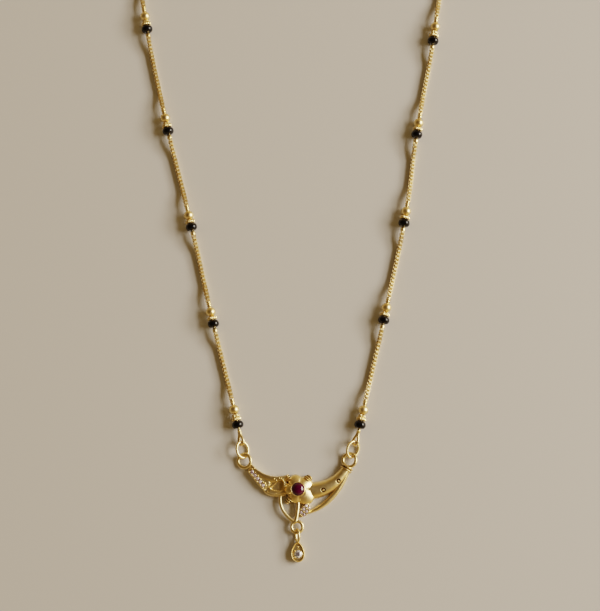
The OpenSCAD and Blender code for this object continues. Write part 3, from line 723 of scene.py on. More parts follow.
# %% Satin forms
SATIN_VOXEL = 0.065
LEAF_AT = Vector((-4.85, 0.82, 0))
LEAF_TURN = 38
LEAF_LEN = 5.2
LEAF_W = 2.9
LEAF_H = 1.2
LOWER_LEN = 3.7
LOWER_AT = Vector((1.6, -PETAL_RING - 0.85 * LOWER_LEN, 0))
LOWER_TURN = 52
LOWER_W = 2.1
LOWER_H = 1.5
# Corners of the low plate round the pierced leaf
WEB = [(-8.26, 1.63), (-7.35, 2.18), (-5.55, 2.38), (-2.97, 2.38), (-2.06, 0), (-2.84, -1.16),
       (-5.55, -1.22), (-7.35, -0.68), (-8.0, 0.2)]
WEB_H = 1.0
# Corners of the ground between the satin rail and the row of stones
SHOULDER = [(-11.5, 4.9), (-10.6, 4.3), (-9.5, 3.3), (-8.4, 2.6), (-7.2, 2.1), (-6.7, 1.5), (-7.0, 0.8),
            (-7.74, 0.3)]
SHOULDER_H = 1.36
# Corners of the opening in the pierced leaf
OPENING = [(-6.4, 0.2), (-5.9, 0.95), (-5.25, 1.5), (-4.45, 1.98), (-3.7, 2.2), (-3.5, 1.3), (-3.55, 0.4),
           (-3.75, -0.2), (-4.8, -0.32), (-5.9, -0.15)]
ROW_BEND = [ROW_FROM, (ROW_FROM + ROW_TO) / 2, ROW_TO]
# Each satin bar: bend, width, height, rows, roundness and skew
SATIN_BARS = [(HORN_BEND, HORN_W, HORN_H, HORN_ROWS, 2.3, 0), (RAIL_BEND, 2.0, 1.7, RAIL_ROWS, 2.1, 0.76),
              (LOWER_RAIL_BEND, 0.95, 1.25, LOWER_RAIL_ROWS, 2.2, 0), (ROW_BEND, 1.6, 1.4, ROW_ROWS, 5, 0)]

forms = bmesh.new()
for satin_bar in SATIN_BARS:
    put(forms, bar(*satin_bar))
put(forms, flower())
put(forms, lens(LEAF_LEN, LEAF_W, LEAF_H), turned(LEAF_AT, LEAF_TURN))
put(forms, plate(flat(WEB), 0, WEB_H))
put(forms, plate(flat(SHOULDER), 0, SHOULDER_H))
put(forms, lens(LOWER_LEN, LOWER_W, LOWER_H), turned(LOWER_AT, LOWER_TURN))
opening = plate(flat(OPENING), -1, 5)
satin_form = fused(cut(fused(forms, SATIN_VOXEL, 3, 1), opening), SATIN_VOXEL, 5, 0.45)
print("satin forms fused:", len(satin_form.faces), "faces")

# %% Where the stones and circles sit
ROW_STONE_D = 0.86
ROW_PITCH = 1.02
ROW_GIRDLE = 1.32
ROW_SEAT = 0.5
ROW_COUNT = 5
LOWER_STONE_D = 0.76
LOWER_GIRDLE = 1.43
LOWER_SEAT = 0.42
# Steps between the lower stones, as shares of the leaf's length and width
LOWER_PITCH = 0.27
LOWER_SIDE = 0.21
CIRCLE_SHARES = (0.36, 0.71)
CIRCLE_SHIFT = Vector((0.25, -0.4, 0))

row_middle = (ROW_FROM + ROW_TO) / 2
row_stones = [row_middle + ROW_WAY * (k - (ROW_COUNT - 1) / 2) * ROW_PITCH for k in range(ROW_COUNT)]
lower_along = polar(1, LOWER_TURN)
lower_across = polar(1, LOWER_TURN + 90)
lower_stones = [LOWER_AT + (i + 0.15) * LOWER_PITCH * LOWER_LEN * lower_along
                + j * LOWER_SIDE * LOWER_W * lower_across for i in (-1, 0, 1) for j in (-1, 1)]
circles = [bend(HORN_BEND, share) + CIRCLE_SHIFT for share in CIRCLE_SHARES]
print(len(row_stones), "stones in the row,", len(lower_stones), "in the lower leaf")


def on_skin(skin, point):
    """A place on the surface straight under a point, with Z along the surface's normal."""
    found, normal, _, _ = skin.ray_cast(Vector((point.x, point.y, 9)), -UP)
    if found is None:
        found, normal, _, _ = skin.find_nearest(Vector((point.x, point.y, 1.5)))
    return at(found) @ normal.to_track_quat("Z", "Y").to_matrix().to_4x4()


# %% Seats, circles and hole
HOLE_AT = Vector((-7.6, -0.42, 0))
HOLE_R = 0.22
# The groove round each circle's dot, and the painted shade on its floor
GROOVE = [(0.15, -0.75), (0.54, -0.75), (0.6, 0.5), (0.15, 0.5)]
GROOVE_SHADE = [(0.12, -0.77), (0.57, -0.77), (0.57, -0.55), (0.12, -0.55)]


def seat(diameter, depth):
    """A cutter for a stone's seat: a cone under a short cylinder, with its girdle at z = 0."""
    r = diameter / 2 + STONE_GAP
    return spun([(0, -depth), (0.3 * r, -depth), (r, -0.05), (r, 1.0), (0, 1.0)], steps=32)


def drill(radius, low, high, steps=48):
    """A cutter for a round hole."""
    return spun([(0, low), (radius, low), (radius, high), (0, high)], steps=steps)


satin_skin = BVHTree.FromBMesh(satin_form)
tools = bmesh.new()
for point in row_stones:
    put(tools, seat(ROW_STONE_D, ROW_SEAT), at(point + ROW_GIRDLE * UP))
for point in lower_stones:
    put(tools, seat(LOWER_STONE_D, LOWER_SEAT), at(point + LOWER_GIRDLE * UP))
put(tools, drill(HOLE_R, -1, 2, steps=20), at(HOLE_AT))
put(tools, drill(RUBY_D / 2 + 0.1, GIRDLE_Z - 0.1, 4))
for point in circles:
    put(tools, spun(GROOVE, steps=40, closed=True), on_skin(satin_skin, point))
satin_form = cut(satin_form, tools)
print("after cutting:", len(satin_form.faces), "faces")

# %% [markdown]
# ## Polished parts of the casting
#
# The blade sweeps under the horn and rises to its end. Two wires leave the flower, meet in a point and
# carry the ring of the drop. Each wing ends in a ring that is tilted, so that the oval link through it
# can tilt the other way.


# %% Polished forms
POLISHED_VOXEL = 0.07
BLADE_W = 1.4
BLADE_H = 1.2
STEM_SEEN = 1.14 * STEM_WIRE


def tilted(tilt, lift, turn):
    """Tilt about the length, then lift and turn that length."""
    return (Matrix.Rotation(radians(turn), 4, "Z") @ Matrix.Rotation(-lift, 4, "Y")
            @ Matrix.Rotation(radians(tilt), 4, "X"))


stem_foot = DROP_RING_AT + polar(DROP_RING_R, 118)
STEM_LEFT = [Vector((-4.1, -1.09, 0)), Vector((-4.9, -5.07, 0)), stem_foot]
STEM_RIGHT = [Vector((0.02, -PETAL_RING, 0)), Vector((0.15, -5.34, 0)), stem_foot + Vector((0.18, 0, 0))]

rods = bmesh.new()
put(rods, bar(BLADE_BEND, BLADE_W, BLADE_H, BLADE_ROWS, roundness=2.4))
for stem_bend, thick in ((STEM_LEFT, STEM_WIRE), (STEM_RIGHT, STEM_SEEN)):
    path = [bend(stem_bend, i / 24) + (STEM_Z - 0.45 * (1 - min(1, i / 5)) ** 2) * UP for i in range(25)]
    put(rods, wire(path, thick, sides=20))
    put(rods, ball(thick), at(path[0]))
put(rods, oval(DROP_RING_R, DROP_RING_R, RING_SEEN, sides=20), at(DROP_RING_AT + STEM_Z * UP))
for side in SIDES:
    place = at(CAST_RING_AT[side] + RING_Z * UP) @ tilted(-RING_TILT, 0, HANG_TURN[side])
    put(rods, oval(RING_R, RING_R, RING_SEEN, sides=20), place)
polished_form = fused(rods, POLISHED_VOXEL, 3, 0.6)
print("polished forms fused:", len(polished_form.faces), "faces")

# %% Bezel and bands
BAND_T = 0.42
BAND_OVER = 0.44
# From band to band, in half thicknesses
BAND_PITCH = 3.1
# How much wider and higher than the horn the painted shade between the bands is
SHADE_GROUND_OVER = (0.12, 0.06)
# The bezel's section: how far inside its outer radius, and the height
BEZEL_LIP = [(0.06, 1.0), (0.04, 2.6), (0.05, 2.78), (0.1, 2.88), (0.17, 2.92), (0.25, 2.88), (0.3, 2.76),
             (0.28, 2.6), (0.27, 1.0)]
bezel_r = RUBY_D / 2 + STONE_GAP + BEZEL_WALL
bezel = spun([(bezel_r - inside, high) for inside, high in BEZEL_LIP], steps=96, closed=True)
horn_end = HORN_ROWS[-1]
band_way = (HORN_BEND[2] - HORN_BEND[1]).normalized() * BAND_T / 2


def over_horn(back, wider, higher, roundness=3.0, steps=8):
    """A short bar across the horn's end, some half thicknesses back, wider and higher than the horn."""
    middle = HORN_BEND[2] - band_way * back
    return bar([middle - band_way, middle, middle + band_way], horn_end[1] * HORN_W + wider,
               horn_end[2] * HORN_H + higher, BAND_ROWS, roundness, steps=steps)


bands = bmesh.new()
for back in (0, BAND_PITCH):
    put(bands, over_horn(back, 2 * BAND_OVER, BAND_OVER, roundness=2.2, steps=12))
# Painted shade: a dark strip in the gap between the bands
shade_grounds = bmesh.new()
put(shade_grounds, over_horn(BAND_PITCH / 2, *SHADE_GROUND_OVER))
print("bezel and bands:", len(bezel.faces) + len(bands.faces), "faces")

# %% [markdown]
# ## Granules, recesses and the window
#
# Bright dots run along both sides of the stones. Each one is a tiny ball of gold, raised with a graver
# and pushed over the stone's edge. They sit where the surface of the casting is, found by looking
# straight down onto it. Each circle on the horn is a groove round a dot, with a lip that the punch
# pushed up at its lower left. The floors of the grooves, the gap between the bands and the sepals' ground
# are painted shade. The window in the pierced leaf has a thin rim, and under its opening a low sheet of
# satin gold stands in for the shade seen through it.

# %% Granules and prongs
PRONG_D = 0.42
PRONG_SIDE = 0.52
LOWER_PRONG_D = 0.3
# Larger granules: place and diameter
GRANULES = [(-7.95, 1.4, 0.5), (-6.75, 0.27, 0.55), (-5.7, 2.45, 0.42), (-5.2, 2.1, 0.42),
            (-4.5, 2.65, 0.42), (-4.0, 2.62, 0.4), (-10.5, 5.0, 0.4)]
whole = bmesh.new()
put(whole, satin_form)
put(whole, polished_form)
cast_skin = BVHTree.FromBMesh(whole)
whole.free()
dots = bmesh.new()
row_across = Vector((-ROW_WAY.y, ROW_WAY.x, 0))
for k in range(ROW_COUNT + 1):
    for j in (-1, 1):
        spot = row_stones[0] + ROW_WAY * (k - 0.5) * ROW_PITCH + j * PRONG_SIDE * row_across
        put(dots, ball(PRONG_D), at(spot + (ROW_GIRDLE + 0.1) * UP))
for i in (-1, 0, 1, 2):
    along = (i - 0.35) * LOWER_PITCH * LOWER_LEN
    half = LOWER_W / 2 * (1 - (2 * along / LOWER_LEN) ** 2)
    if half > 0.4:
        for j in (-1, 0, 1):
            spot = LOWER_AT + along * lower_along + j * min(0.4 * LOWER_W, half - 0.14) * lower_across
            put(dots, ball(LOWER_PRONG_D), at(spot + (LOWER_GIRDLE + 0.08) * UP))
for x, y, size in GRANULES:
    put(dots, ball(size), on_skin(cast_skin, Vector((x, y, 0))))
print("granules and prongs:", len(dots.faces), "faces")

# %% Circles, recesses and the window
CIRCLE_DOT_D = 0.46
LIP_R = 0.67
LIP_REACH = 75
LOW_LEFT = 225
DOT_SUNK = Vector((0, 0, -0.06))
WINDOW_MIDDLE = Vector((-4.8, 0.7, 0))
# The sheet of painted shade under the window, and the window's rim, run a little outside its opening
SHADE_SHEET_SHARE = 1.1
RIM_SHARE = 1.16
RIM_R = (0.13, 0.14)
for point in circles:
    there = on_skin(satin_skin, point)
    facing = there.to_3x3().inverted() @ polar(1, LOW_LEFT)
    lip_turn = atan2(facing.y, facing.x) * 180 / pi
    put(dots, ball(CIRCLE_DOT_D), there @ at(DOT_SUNK))
    lip = [polar(LIP_R, lip_turn + LIP_REACH * j / 8) - 0.02 * UP for j in range(-8, 9)]
    swell = [cos(pi / 2 * j / 8) for j in range(-8, 9)]
    put(dots, carry(disc(10), stand(lip, [(0.03 + 0.09 * fat, 0.02 + 0.08 * fat) for fat in swell])), there)
    # Painted shade on the floor of the groove
    put(shade_grounds, spun(GROOVE_SHADE, steps=40, closed=True), there)
# Each sepal's ground is painted shade, dark between its ribs
for turn, half in SEPALS:
    put(shade_grounds, sepal(turn, half))
window = [point - WINDOW_MIDDLE for point in flat(OPENING)]
# A low sheet of satin gold under the opening stands in for the shade seen through it
window_shade_sheet = plate([WINDOW_MIDDLE + SHADE_SHEET_SHARE * point for point in window], 0.06, 0.5)
edge = [on_skin(cast_skin, WINDOW_MIDDLE + RIM_SHARE * point).translation for point in rounded(window)]
put(dots, carry(disc(12), stand(level(edge), [RIM_R] * len(edge), True), True))
print("with lips and window rim:", len(dots.faces), "faces")


# %% Casting pieces
def add_cast(bm, name, material, sharp=40):
    """A piece of the casting, which is drawn round the ruby's axis."""
    add_piece(placed(bm), name, material, "pendant_frame", sharp)


# The sheet under the window is painted shade
add_cast(window_shade_sheet, "window_shade_sheet", satin)
# The dark grounds are painted shade
add_cast(shade_grounds, "painted_shade_grounds", shade_gold)
add_cast(dots, "granules_and_prongs", polished)
add_cast(satin_form, "pendant_casting", satin, sharp=50)
add_cast(polished_form, "pendant_polished_parts", polished, sharp=60)
add_cast(bezel, "ruby_bezel", polished)
add_cast(bands, "horn_bands", satin)
rib_set = bmesh.new()
for turn, half in SEPALS:
    put(rib_set, ribs(turn, half))
add_cast(rib_set, "sepal_ribs", polished)

# %% [markdown]
# ## The ruby
#
# A cabochon has no facets: it is a smooth dome on a flat base. Its outline is a quarter ellipse that is
# spun round.

# %% Ruby
DOME_STEPS = 24
RUBY_SIDE = 0.12
dome = [(0, 0), (RUBY_D / 2, 0), (RUBY_D / 2, RUBY_SIDE)]
for i in range(1, DOME_STEPS):
    turn = pi / 2 * i / DOME_STEPS
    dome.append((cos(turn) * RUBY_D / 2, RUBY_SIDE + sin(turn) * RUBY_DOME))
dome.append((0, RUBY_SIDE + RUBY_DOME))
ruby = placed(spun(dome, steps=96), at(RUBY_AT + GIRDLE_Z * UP))
add_piece(ruby, "ruby_cabochon", ruby_red, "ruby")


# %% [markdown]
# ## Cut stones
#
# A round brilliant has an eight-sided table, a ring of crown facets, a sixteen-sided girdle and a
# pointed pavilion. Its corners are placed, and a convex hull draws the facets between them.

# %% Cut stones
def brilliant(diameter):
    """A round brilliant with its girdle at z = 0."""
    bm = bmesh.new()
    # Each ring of corners: count, radius, height and turn in degrees
    rings = [(8, 0.56, 0.32, 22.5), (8, 0.8, 0.19, 0), (16, 1, 0.03, 11.25), (16, 1, -0.03, 11.25),
             (8, 0.5, -0.42, 11.25), (1, 0, -0.84, 0)]
    for count, radius, height, turn in rings:
        for j in range(count):
            bm.verts.new(polar(radius, turn + 360 * j / count) + height * UP)
    bmesh.ops.convex_hull(bm, input=bm.verts)
    bmesh.ops.dissolve_limit(bm, angle_limit=radians(1), verts=bm.verts, edges=bm.edges)
    bmesh.ops.scale(bm, vec=[diameter / 2] * 3, verts=bm.verts)
    bmesh.ops.recalc_face_normals(bm, faces=bm.faces)
    return bm


def glinting(bm):
    """Give every facet a painted reflection: a share of brightness, in steps that never repeat and never
    cluster.
    """
    golden_ratio = 0.618
    glint = bm.faces.layers.float.new("glint")
    for i, face in enumerate(bm.faces):
        face[glint] = (golden_ratio * i + 0.1) % 1
    return bm


def add_stones(points, girdle, diameter, twist, name, node):
    """Set brilliants at points of the casting, each turned a little further than the last."""
    bm = bmesh.new()
    for k, point in enumerate(points):
        put(bm, brilliant(diameter), turned(RUBY_AT + point + girdle * UP, twist * k))
    add_piece(glinting(bm), name, pink_stone, node, sharp=1)


add_stones(row_stones, ROW_GIRDLE, ROW_STONE_D, 17, "wing_brilliants", "wing_stones")
add_stones(lower_stones, LOWER_GIRDLE, LOWER_STONE_D, 23, "lower_brilliants", "lower_stones")

# %% [markdown]
# ## The drop
#
# The drop is a pear of thick wire round a sunken plate. A stone sits in a collar at its round end, with
# one granule above it, and a narrow oval bail passes through the ring of the pendant.

# %% Sizes of the drop
DROP_TURN = 272
PLAY = 0.24
BAIL_LEN = 3.4
BAIL_W = 2.25
BAIL_WIRE = 0.42
BAIL_SEEN = 0.58
BAIL_TILT = 64
PEAR_LEN = 4.9
PEAR_W = 3.2
PEAR_H = 1.3
PEAR_RIM = 0.36
PEAR_INSET = 0.19
DROP_STONE_D = 1.9
# The stone's collar: radius and height
STONE_COLLAR = [(1.0, 0.3), (1.11, 0.3), (1.12, 1.1), (1.09, 1.2), (1.04, 1.22), (1.0, 1.14)]
CLAW_D = 0.24
CLAW_R = 0.97
CLAW_Z = 1.24
# The granule above the stone and the ball at the tip: distance from the tip and diameter
PEAR_BALLS = [(1.3, 0.5), (0.3, 0.85)]
PEAR_BALL_Z = 0.8
bail_a = (BAIL_LEN - BAIL_WIRE) / 2
bail_b = (BAIL_W - BAIL_WIRE) / 2
bail_x = DROP_RING_R - RING_WIRE / 2 - BAIL_WIRE / 2 - PLAY + bail_a
pear_from = bail_x + bail_a - 0.1
stone_x = pear_from + 0.61 * PEAR_LEN
stone_z = PEAR_H - 0.08 * DROP_STONE_D
drop_place = turned(RUBY_AT + DROP_RING_AT, DROP_TURN)
print("pear drop from", round(pear_from, 2), "mm below its ring")


# %% Drop
def teardrop(share, shift, steps=32):
    """The pear's outline from its tip round to the tip again, scaled by a share and shifted along."""
    points = []
    for i in range(2 * steps):
        turn = pi * i / steps
        belly = 0.58 * PEAR_W * sin(turn) * abs(sin(turn / 2)) ** 0.5
        point = Vector((PEAR_LEN * (1 - cos(turn)) / 2, belly, 0))
        points.append(point * share + Vector((shift, 0, 0)))
    return points


at_pear = at((pear_from, 0, 0))
dish = plate(teardrop(0.93, 0.17), 0.12, 0.82)
add_piece(placed(dish, drop_place @ at_pear), "pear_plate", satin, "drop_frame")

pear = bmesh.new()
rim_path = teardrop((PEAR_LEN - 2 * PEAR_INSET) / PEAR_LEN, PEAR_INSET)
rim = carry(disc(16), stand(rim_path, [(PEAR_RIM / 2, PEAR_H / 2)] * len(rim_path), True), True)
put(pear, rim, at((pear_from, 0, PEAR_H / 2)))
put(pear, spun(STONE_COLLAR, steps=64, closed=True), at((stone_x, 0, 0)))
for further, size in PEAR_BALLS:
    put(pear, ball(size), at((pear_from + further, 0, PEAR_BALL_Z)))
bail_lean = Matrix.Rotation(radians(BAIL_TILT), 4, "X")
put(pear, oval(bail_a, bail_b, BAIL_SEEN, sides=16), at((bail_x, 0, STEM_Z)) @ bail_lean)
for j in range(4):
    claw = Vector((stone_x, 0, CLAW_Z)) + polar(CLAW_R, 45 + 90 * j)
    put(pear, ball(CLAW_D), at(claw))
add_piece(placed(pear, drop_place), "pear_drop", polished, "drop_frame", sharp=60)
drop_stone = placed(brilliant(DROP_STONE_D), drop_place @ at((stone_x, 0, stone_z)))
add_piece(glinting(drop_stone), "drop_brilliant", clear_stone, "drop_stone", sharp=1)

# %% [markdown]
# ## Links at the pendant
#
# An oval link hangs on each cast ring, and the wire loop of the first cluster hangs on the link. Ring
# and link are tilted in opposite senses about the line that joins them, which is how two flat rings of
# wire lie when they are pulled straight on a table.

# %% Links and wire loops
LINK_LEN = 4.5
LINK_W = 3.7
LINK_WIRE = 0.58
LINK_SEEN = 0.64
LINK_TILT = 32
LOOP_LEN = 3.7
LOOP_W = 2.0
LOOP_WIRE = 0.45
LOOP_SEEN = 1.4 * LOOP_WIRE
LOOP_TILT = 42
AXIS_Z = 1.4
link_a = (LINK_LEN - LINK_WIRE) / 2
link_b = (LINK_W - LINK_WIRE) / 2
link_x = RING_R - RING_WIRE / 2 + link_a - LINK_WIRE / 2 - PLAY
neck_x = link_x + link_a - LINK_WIRE / 2 - PLAY + LOOP_LEN - LOOP_WIRE
hang_lift = asin((AXIS_Z - RING_Z) / neck_x)
ring_at = {side: RUBY_AT + place + RING_Z * UP for side, place in CAST_RING_AT.items()}


def on_line(side, x, tilt):
    """A place on the line from a cast ring to its first cluster."""
    lean = tilted(tilt, hang_lift, HANG_TURN[side])
    return at(ring_at[side]) @ lean @ at((x, 0, 0))


def loop_path(steps=24):
    """A wire that leaves the solder ball, runs straight into a round end and comes back to the ball."""
    end_r = (LOOP_W - LOOP_WIRE) / 2
    foot = Vector((-0.55 * LOOP_WIRE, 0.54 * LOOP_WIRE, 0))
    far = LOOP_LEN - LOOP_WIRE / 2 - end_r
    slope = atan2(end_r - foot.y, far + foot.x)
    start = pi / 2 - slope
    shoulder = Vector((end_r * cos(start) - far, end_r * sin(start), 0))
    points = [foot.copy()]
    for share in (0.15, 0.3, 0.45, 0.6, 0.75, 0.9):
        opened = max(0, share - 0.2) / 0.8
        out = foot.y - 0.05 + (shoulder.y - foot.y + 0.05) * (3 * opened ** 2 - 2 * opened ** 3)
        points.append(Vector((foot.x + (shoulder.x - foot.x) * share, out, 0)))
    for i in range(steps + 1):
        turn = start + i * (tau - 2 * start) / steps
        points.append(Vector((end_r * cos(turn) - far, end_r * sin(turn), 0)))
    return points + [Vector((p.x, -p.y, 0)) for p in reversed(points[:7])]


for side in SIDES:
    link = placed(oval(link_a, link_b, LINK_SEEN, sides=16), on_line(side, link_x, LINK_TILT))
    add_piece(link, f"oval_link_{side}", polished, f"link_{side}")

# %% [markdown]
# ## Bead clusters
#
# Ten clusters share one set of parts, each drawn once round its own axis and then laid along its pin.
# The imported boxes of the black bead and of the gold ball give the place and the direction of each.

# %% Parts of a cluster
BALL_D = 2.4
BEAD_D = 2.8
BEAD_T = 1.8
BEAD_FACE_D = 1.3
SPACER_D = 2.4
SPACER_T = 0.8
COLLAR_D = 1.8
SPACER_TEETH = 20
NOTCH = 0.09
PIN_D = 0.6
BORE_D = PIN_D + 0.2
LOW_TIP_D = 1.25
LOW_TIP_LEN = 1.2
HIGH_TIP_D = 1.2
HIGH_TIP_LEN = 1.4
SOLDER_D = 0.95
GAP = 0.1
ball_half = sqrt(BALL_D ** 2 - BORE_D ** 2) / 2
spacer_x = BEAD_T / 2 + GAP
low_tip_x = BEAD_T / 2 + GAP


def black_bead():
    """A rounded disc of glass, drilled for its pin."""
    face_r = BEAD_FACE_D / 2
    steps = 16
    round_side = [(face_r + (BEAD_D / 2 - face_r) * cos(pi * i / steps - pi / 2),
                   BEAD_T / 2 * sin(pi * i / steps - pi / 2)) for i in range(steps + 1)]
    return spun([(BORE_D / 2, -BEAD_T / 2 + 0.06), *round_side, (BORE_D / 2, BEAD_T / 2 - 0.06)], closed=True)


def gold_ball():
    """A drilled ball."""
    steps = 20
    cap = asin(BORE_D / BALL_D)
    turns = [cap + (pi - 2 * cap) * i / steps for i in range(steps + 1)]
    return spun([(BALL_D / 2 * sin(turn), BALL_D / 2 * cos(turn)) for turn in turns], closed=True)


def spacer(length):
    """A milled ring beside the black bead, with a grooved collar that fills the rest of a length."""
    rim = SPACER_D / 2
    collar = COLLAR_D / 2
    t = SPACER_T
    outline = [(BORE_D / 2, 0.05), (0.62 * rim, 0), (0.88 * rim, 0.05 * t), (0.97 * rim, 0.16 * t),
               (rim, 0.3 * t), (rim, 0.7 * t), (0.97 * rim, 0.84 * t), (0.88 * rim, 0.95 * t)]
    rest = length - t
    if rest > 0.1:
        outline += [(0.9 * collar, t), (collar, t + 0.2 * rest), (collar, t + 0.8 * rest),
                    (0.9 * collar, length)]
    else:
        outline += [(0.62 * rim, t)]
    outline += [(BORE_D / 2, length - 0.05)]
    per_tooth = 6
    bm = spun(outline, steps=SPACER_TEETH * per_tooth, closed=True)
    for vert in bm.verts:
        reach = vert.co.xy.length
        if reach > 0.8 * collar:
            phase = vert.co.xy.angle_signed(Vector((1, 0))) * SPACER_TEETH
            dent = NOTCH * (0.5 - 0.5 * cos(phase)) ** 2
            vert.co.xy *= (reach - dent) / reach
    return bm


# Outlines of the two tips: share of the diameter and of the length
LOW_TIP = [(0.72, 0), (0.9, 0.06), (0.95, 0.18), (0.95, 0.5), (0.86, 0.72), (0.66, 0.9), (0.56, 1)]
HIGH_TIP = [(0.6, 0), (0.86, 0.06), (0.94, 0.16), (0.94, 0.26), (0.72, 0.32), (0.72, 0.4), (0.96, 0.46),
            (1, 0.56), (0.96, 0.66), (0.74, 0.72), (0.74, 0.8), (0.94, 0.86), (0.92, 0.96), (0.72, 1)]


def tip_outline(shares, start, length, diameter):
    """Outline points of a crimped tip."""
    return [(wide * diameter / 2, start + along * length) for wide, along in shares]


def pin(first, high_tip_x):
    """The wire through a cluster with its tips. The first pin of a side ends in a solder ball instead."""
    low = -low_tip_x - (SOLDER_D / 2 if first else LOW_TIP_LEN)
    outline = [(0, low)]
    outline += [(PIN_D / 2, low)] if first else tip_outline(LOW_TIP, low, LOW_TIP_LEN, LOW_TIP_D)
    outline += [(PIN_D / 2, -low_tip_x), (PIN_D / 2, high_tip_x)]
    outline += tip_outline(HIGH_TIP, high_tip_x, HIGH_TIP_LEN, HIGH_TIP_D)
    return spun(outline + [(0, high_tip_x + HIGH_TIP_LEN)], steps=32)


# %% Laying the clusters
CLUSTERS = 5
along_pin = Matrix.Rotation(pi / 2, 4, "Y")


def to_ball(side, k):
    """The way from a cluster's black bead to its ball, which its spacer sets."""
    return centre(f"ball_{side}_{k}") - centre(f"bead_{side}_{k}")


def high_tip(side, k):
    """From a cluster's black bead to the near end of its high tip."""
    return to_ball(side, k).length + ball_half + GAP


def in_cluster(side, k, x=0):
    """A place along a cluster's pin, with its own Z along the pin."""
    turn = to_ball(side, k).normalized().to_track_quat("X", "Z").to_matrix().to_4x4()
    return at(centre(f"bead_{side}_{k}")) @ turn @ at((x, 0, 0)) @ along_pin


for side in SIDES:
    for k in range(1, CLUSTERS + 1):
        first = k == 1
        tag = f"{side}_{k}"
        bead = placed(black_bead(), in_cluster(side, k))
        add_piece(bead, f"glass_bead_{tag}", black_glass, f"bead_{tag}")
        reach = to_ball(side, k).length
        drilled = placed(gold_ball(), in_cluster(side, k, reach))
        add_piece(drilled, f"gold_ball_{tag}", satin, f"ball_{tag}")
        milled = placed(spacer(reach - ball_half - GAP - spacer_x), in_cluster(side, k, spacer_x))
        add_piece(milled, f"milled_spacer_{tag}", polished, f"spacer_{tag}", sharp=30)
        stem = placed(pin(first, high_tip(side, k)), in_cluster(side, k))
        if first:
            neck = ring_at[side] + tilted(0, hang_lift, HANG_TURN[side]) @ Vector((neck_x, 0, 0))
            put(stem, ball(SOLDER_D), at(neck))
            put(stem, wire(loop_path(), LOOP_SEEN, sides=14), on_line(side, neck_x, -LOOP_TILT))
        add_piece(stem, f"crimped_pin_{tag}", polished, f"pin_{tag}", sharp=50)

# %% [markdown]
# ## Box chain
#
# A box chain is made of square links of flat wire. Every other link is turned a quarter, and each end
# bar lies inside its neighbours. A chain this fine has about two links to a millimetre, so one link is
# drawn with few faces and repeated along the run. The run keeps the smooth line and the short dips of
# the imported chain.

# %% One link
CHAIN_W = 1.1
LINK_PITCH = 0.47
STRIP_T = 0.22
STRIP_W = 0.6
LINK_CORNER = 0.13


def box_link(pitch):
    """A square link in the XZ plane, its length along X."""
    half_long = pitch / 2 + STRIP_T / 2 - 0.005
    half_wide = (CHAIN_W - STRIP_T) / 2
    corner = LINK_CORNER
    path = []
    for sx, sz, start in ((1, 1, 0), (-1, 1, 90), (-1, -1, 180), (1, -1, 270)):
        middle = Vector((sx * (half_long - corner), sz * (half_wide - corner), 0))
        path += [middle + polar(corner, start + part) for part in (0, 45, 90)]
    strip = [(STRIP_T / 2, STRIP_W / 2), (-STRIP_T / 2, STRIP_W / 2), (-STRIP_T / 2, -STRIP_W / 2),
             (STRIP_T / 2, -STRIP_W / 2)]
    return carry(strip, stand(path, [(1, 1)] * len(path), closed=True), closed=True)


# %% Laying links along a run
CHAIN_R = CHAIN_W * 0.54
DROOP_LEN = 5
ROLL = 14


def gone(path):
    """Distance run at each point of a path."""
    run = [0]
    for here, there in zip(path, path[1:]):
        run.append(run[-1] + (there - here).length)
    return run


def dip(distance):
    """From 1 at a held end to 0 on the table."""
    x = min(1, max(0, distance / DROOP_LEN))
    return 1 - x * x * (3 - 2 * x)


def laid(path, z0, z1, held=0):
    """Lift a flat path to the heights of a chain held up at its two ends."""
    run = gone(path)
    total = run[-1] - held
    return [Vector((p.x, p.y, CHAIN_R + (z0 - CHAIN_R) * dip(d) + (z1 - CHAIN_R) * dip(total - d)))
            for p, d in zip(path, run)]


def point_at(path, run, distance):
    """A point and the direction of a path at a distance along it."""
    for i in range(1, len(path)):
        if distance <= run[i] or i == len(path) - 1:
            part = (distance - run[i - 1]) / (run[i] - run[i - 1])
            return path[i - 1].lerp(path[i], part), (path[i] - path[i - 1]).normalized()


def string_links(target, path, roll):
    """Lay links from end to end of a path."""
    run = gone(path)
    count = round(run[-1] / LINK_PITCH)
    pitch = run[-1] / count
    link = box_link(pitch)
    for n in range(count):
        point, way = point_at(path, run, (n + 0.5) * pitch)
        turn = way.to_track_quat("X", "Z").to_matrix().to_4x4()
        spin = Matrix.Rotation(radians(roll + 90 * (n % 2)), 4, "X")
        put(target, link, at(point) @ turn @ spin)
    link.free()
    return count


# %% The two chains
BACK_R = 32
CHAIN_IN_CAP = 1.2
low_end = low_tip_x + LOW_TIP_LEN


def run_between(a, way_a, b, way_b, steps=60):
    """A smooth curve between two points with a set direction at each."""
    handle = (b - a).length / 3
    after_a = a + way_a * handle
    before_b = b - way_b * handle
    path = []
    for i in range(steps + 1):
        t = i / steps
        u = 1 - t
        path.append(u ** 3 * a + 3 * u * u * t * after_a + 3 * u * t * t * before_b + t ** 3 * b)
    return path


def leaving(side, k):
    """Where the chain leaves a cluster, and its direction there."""
    way = to_ball(side, k).normalized()
    return centre(f"bead_{side}_{k}") + way * (high_tip(side, k) + HIGH_TIP_LEN), way


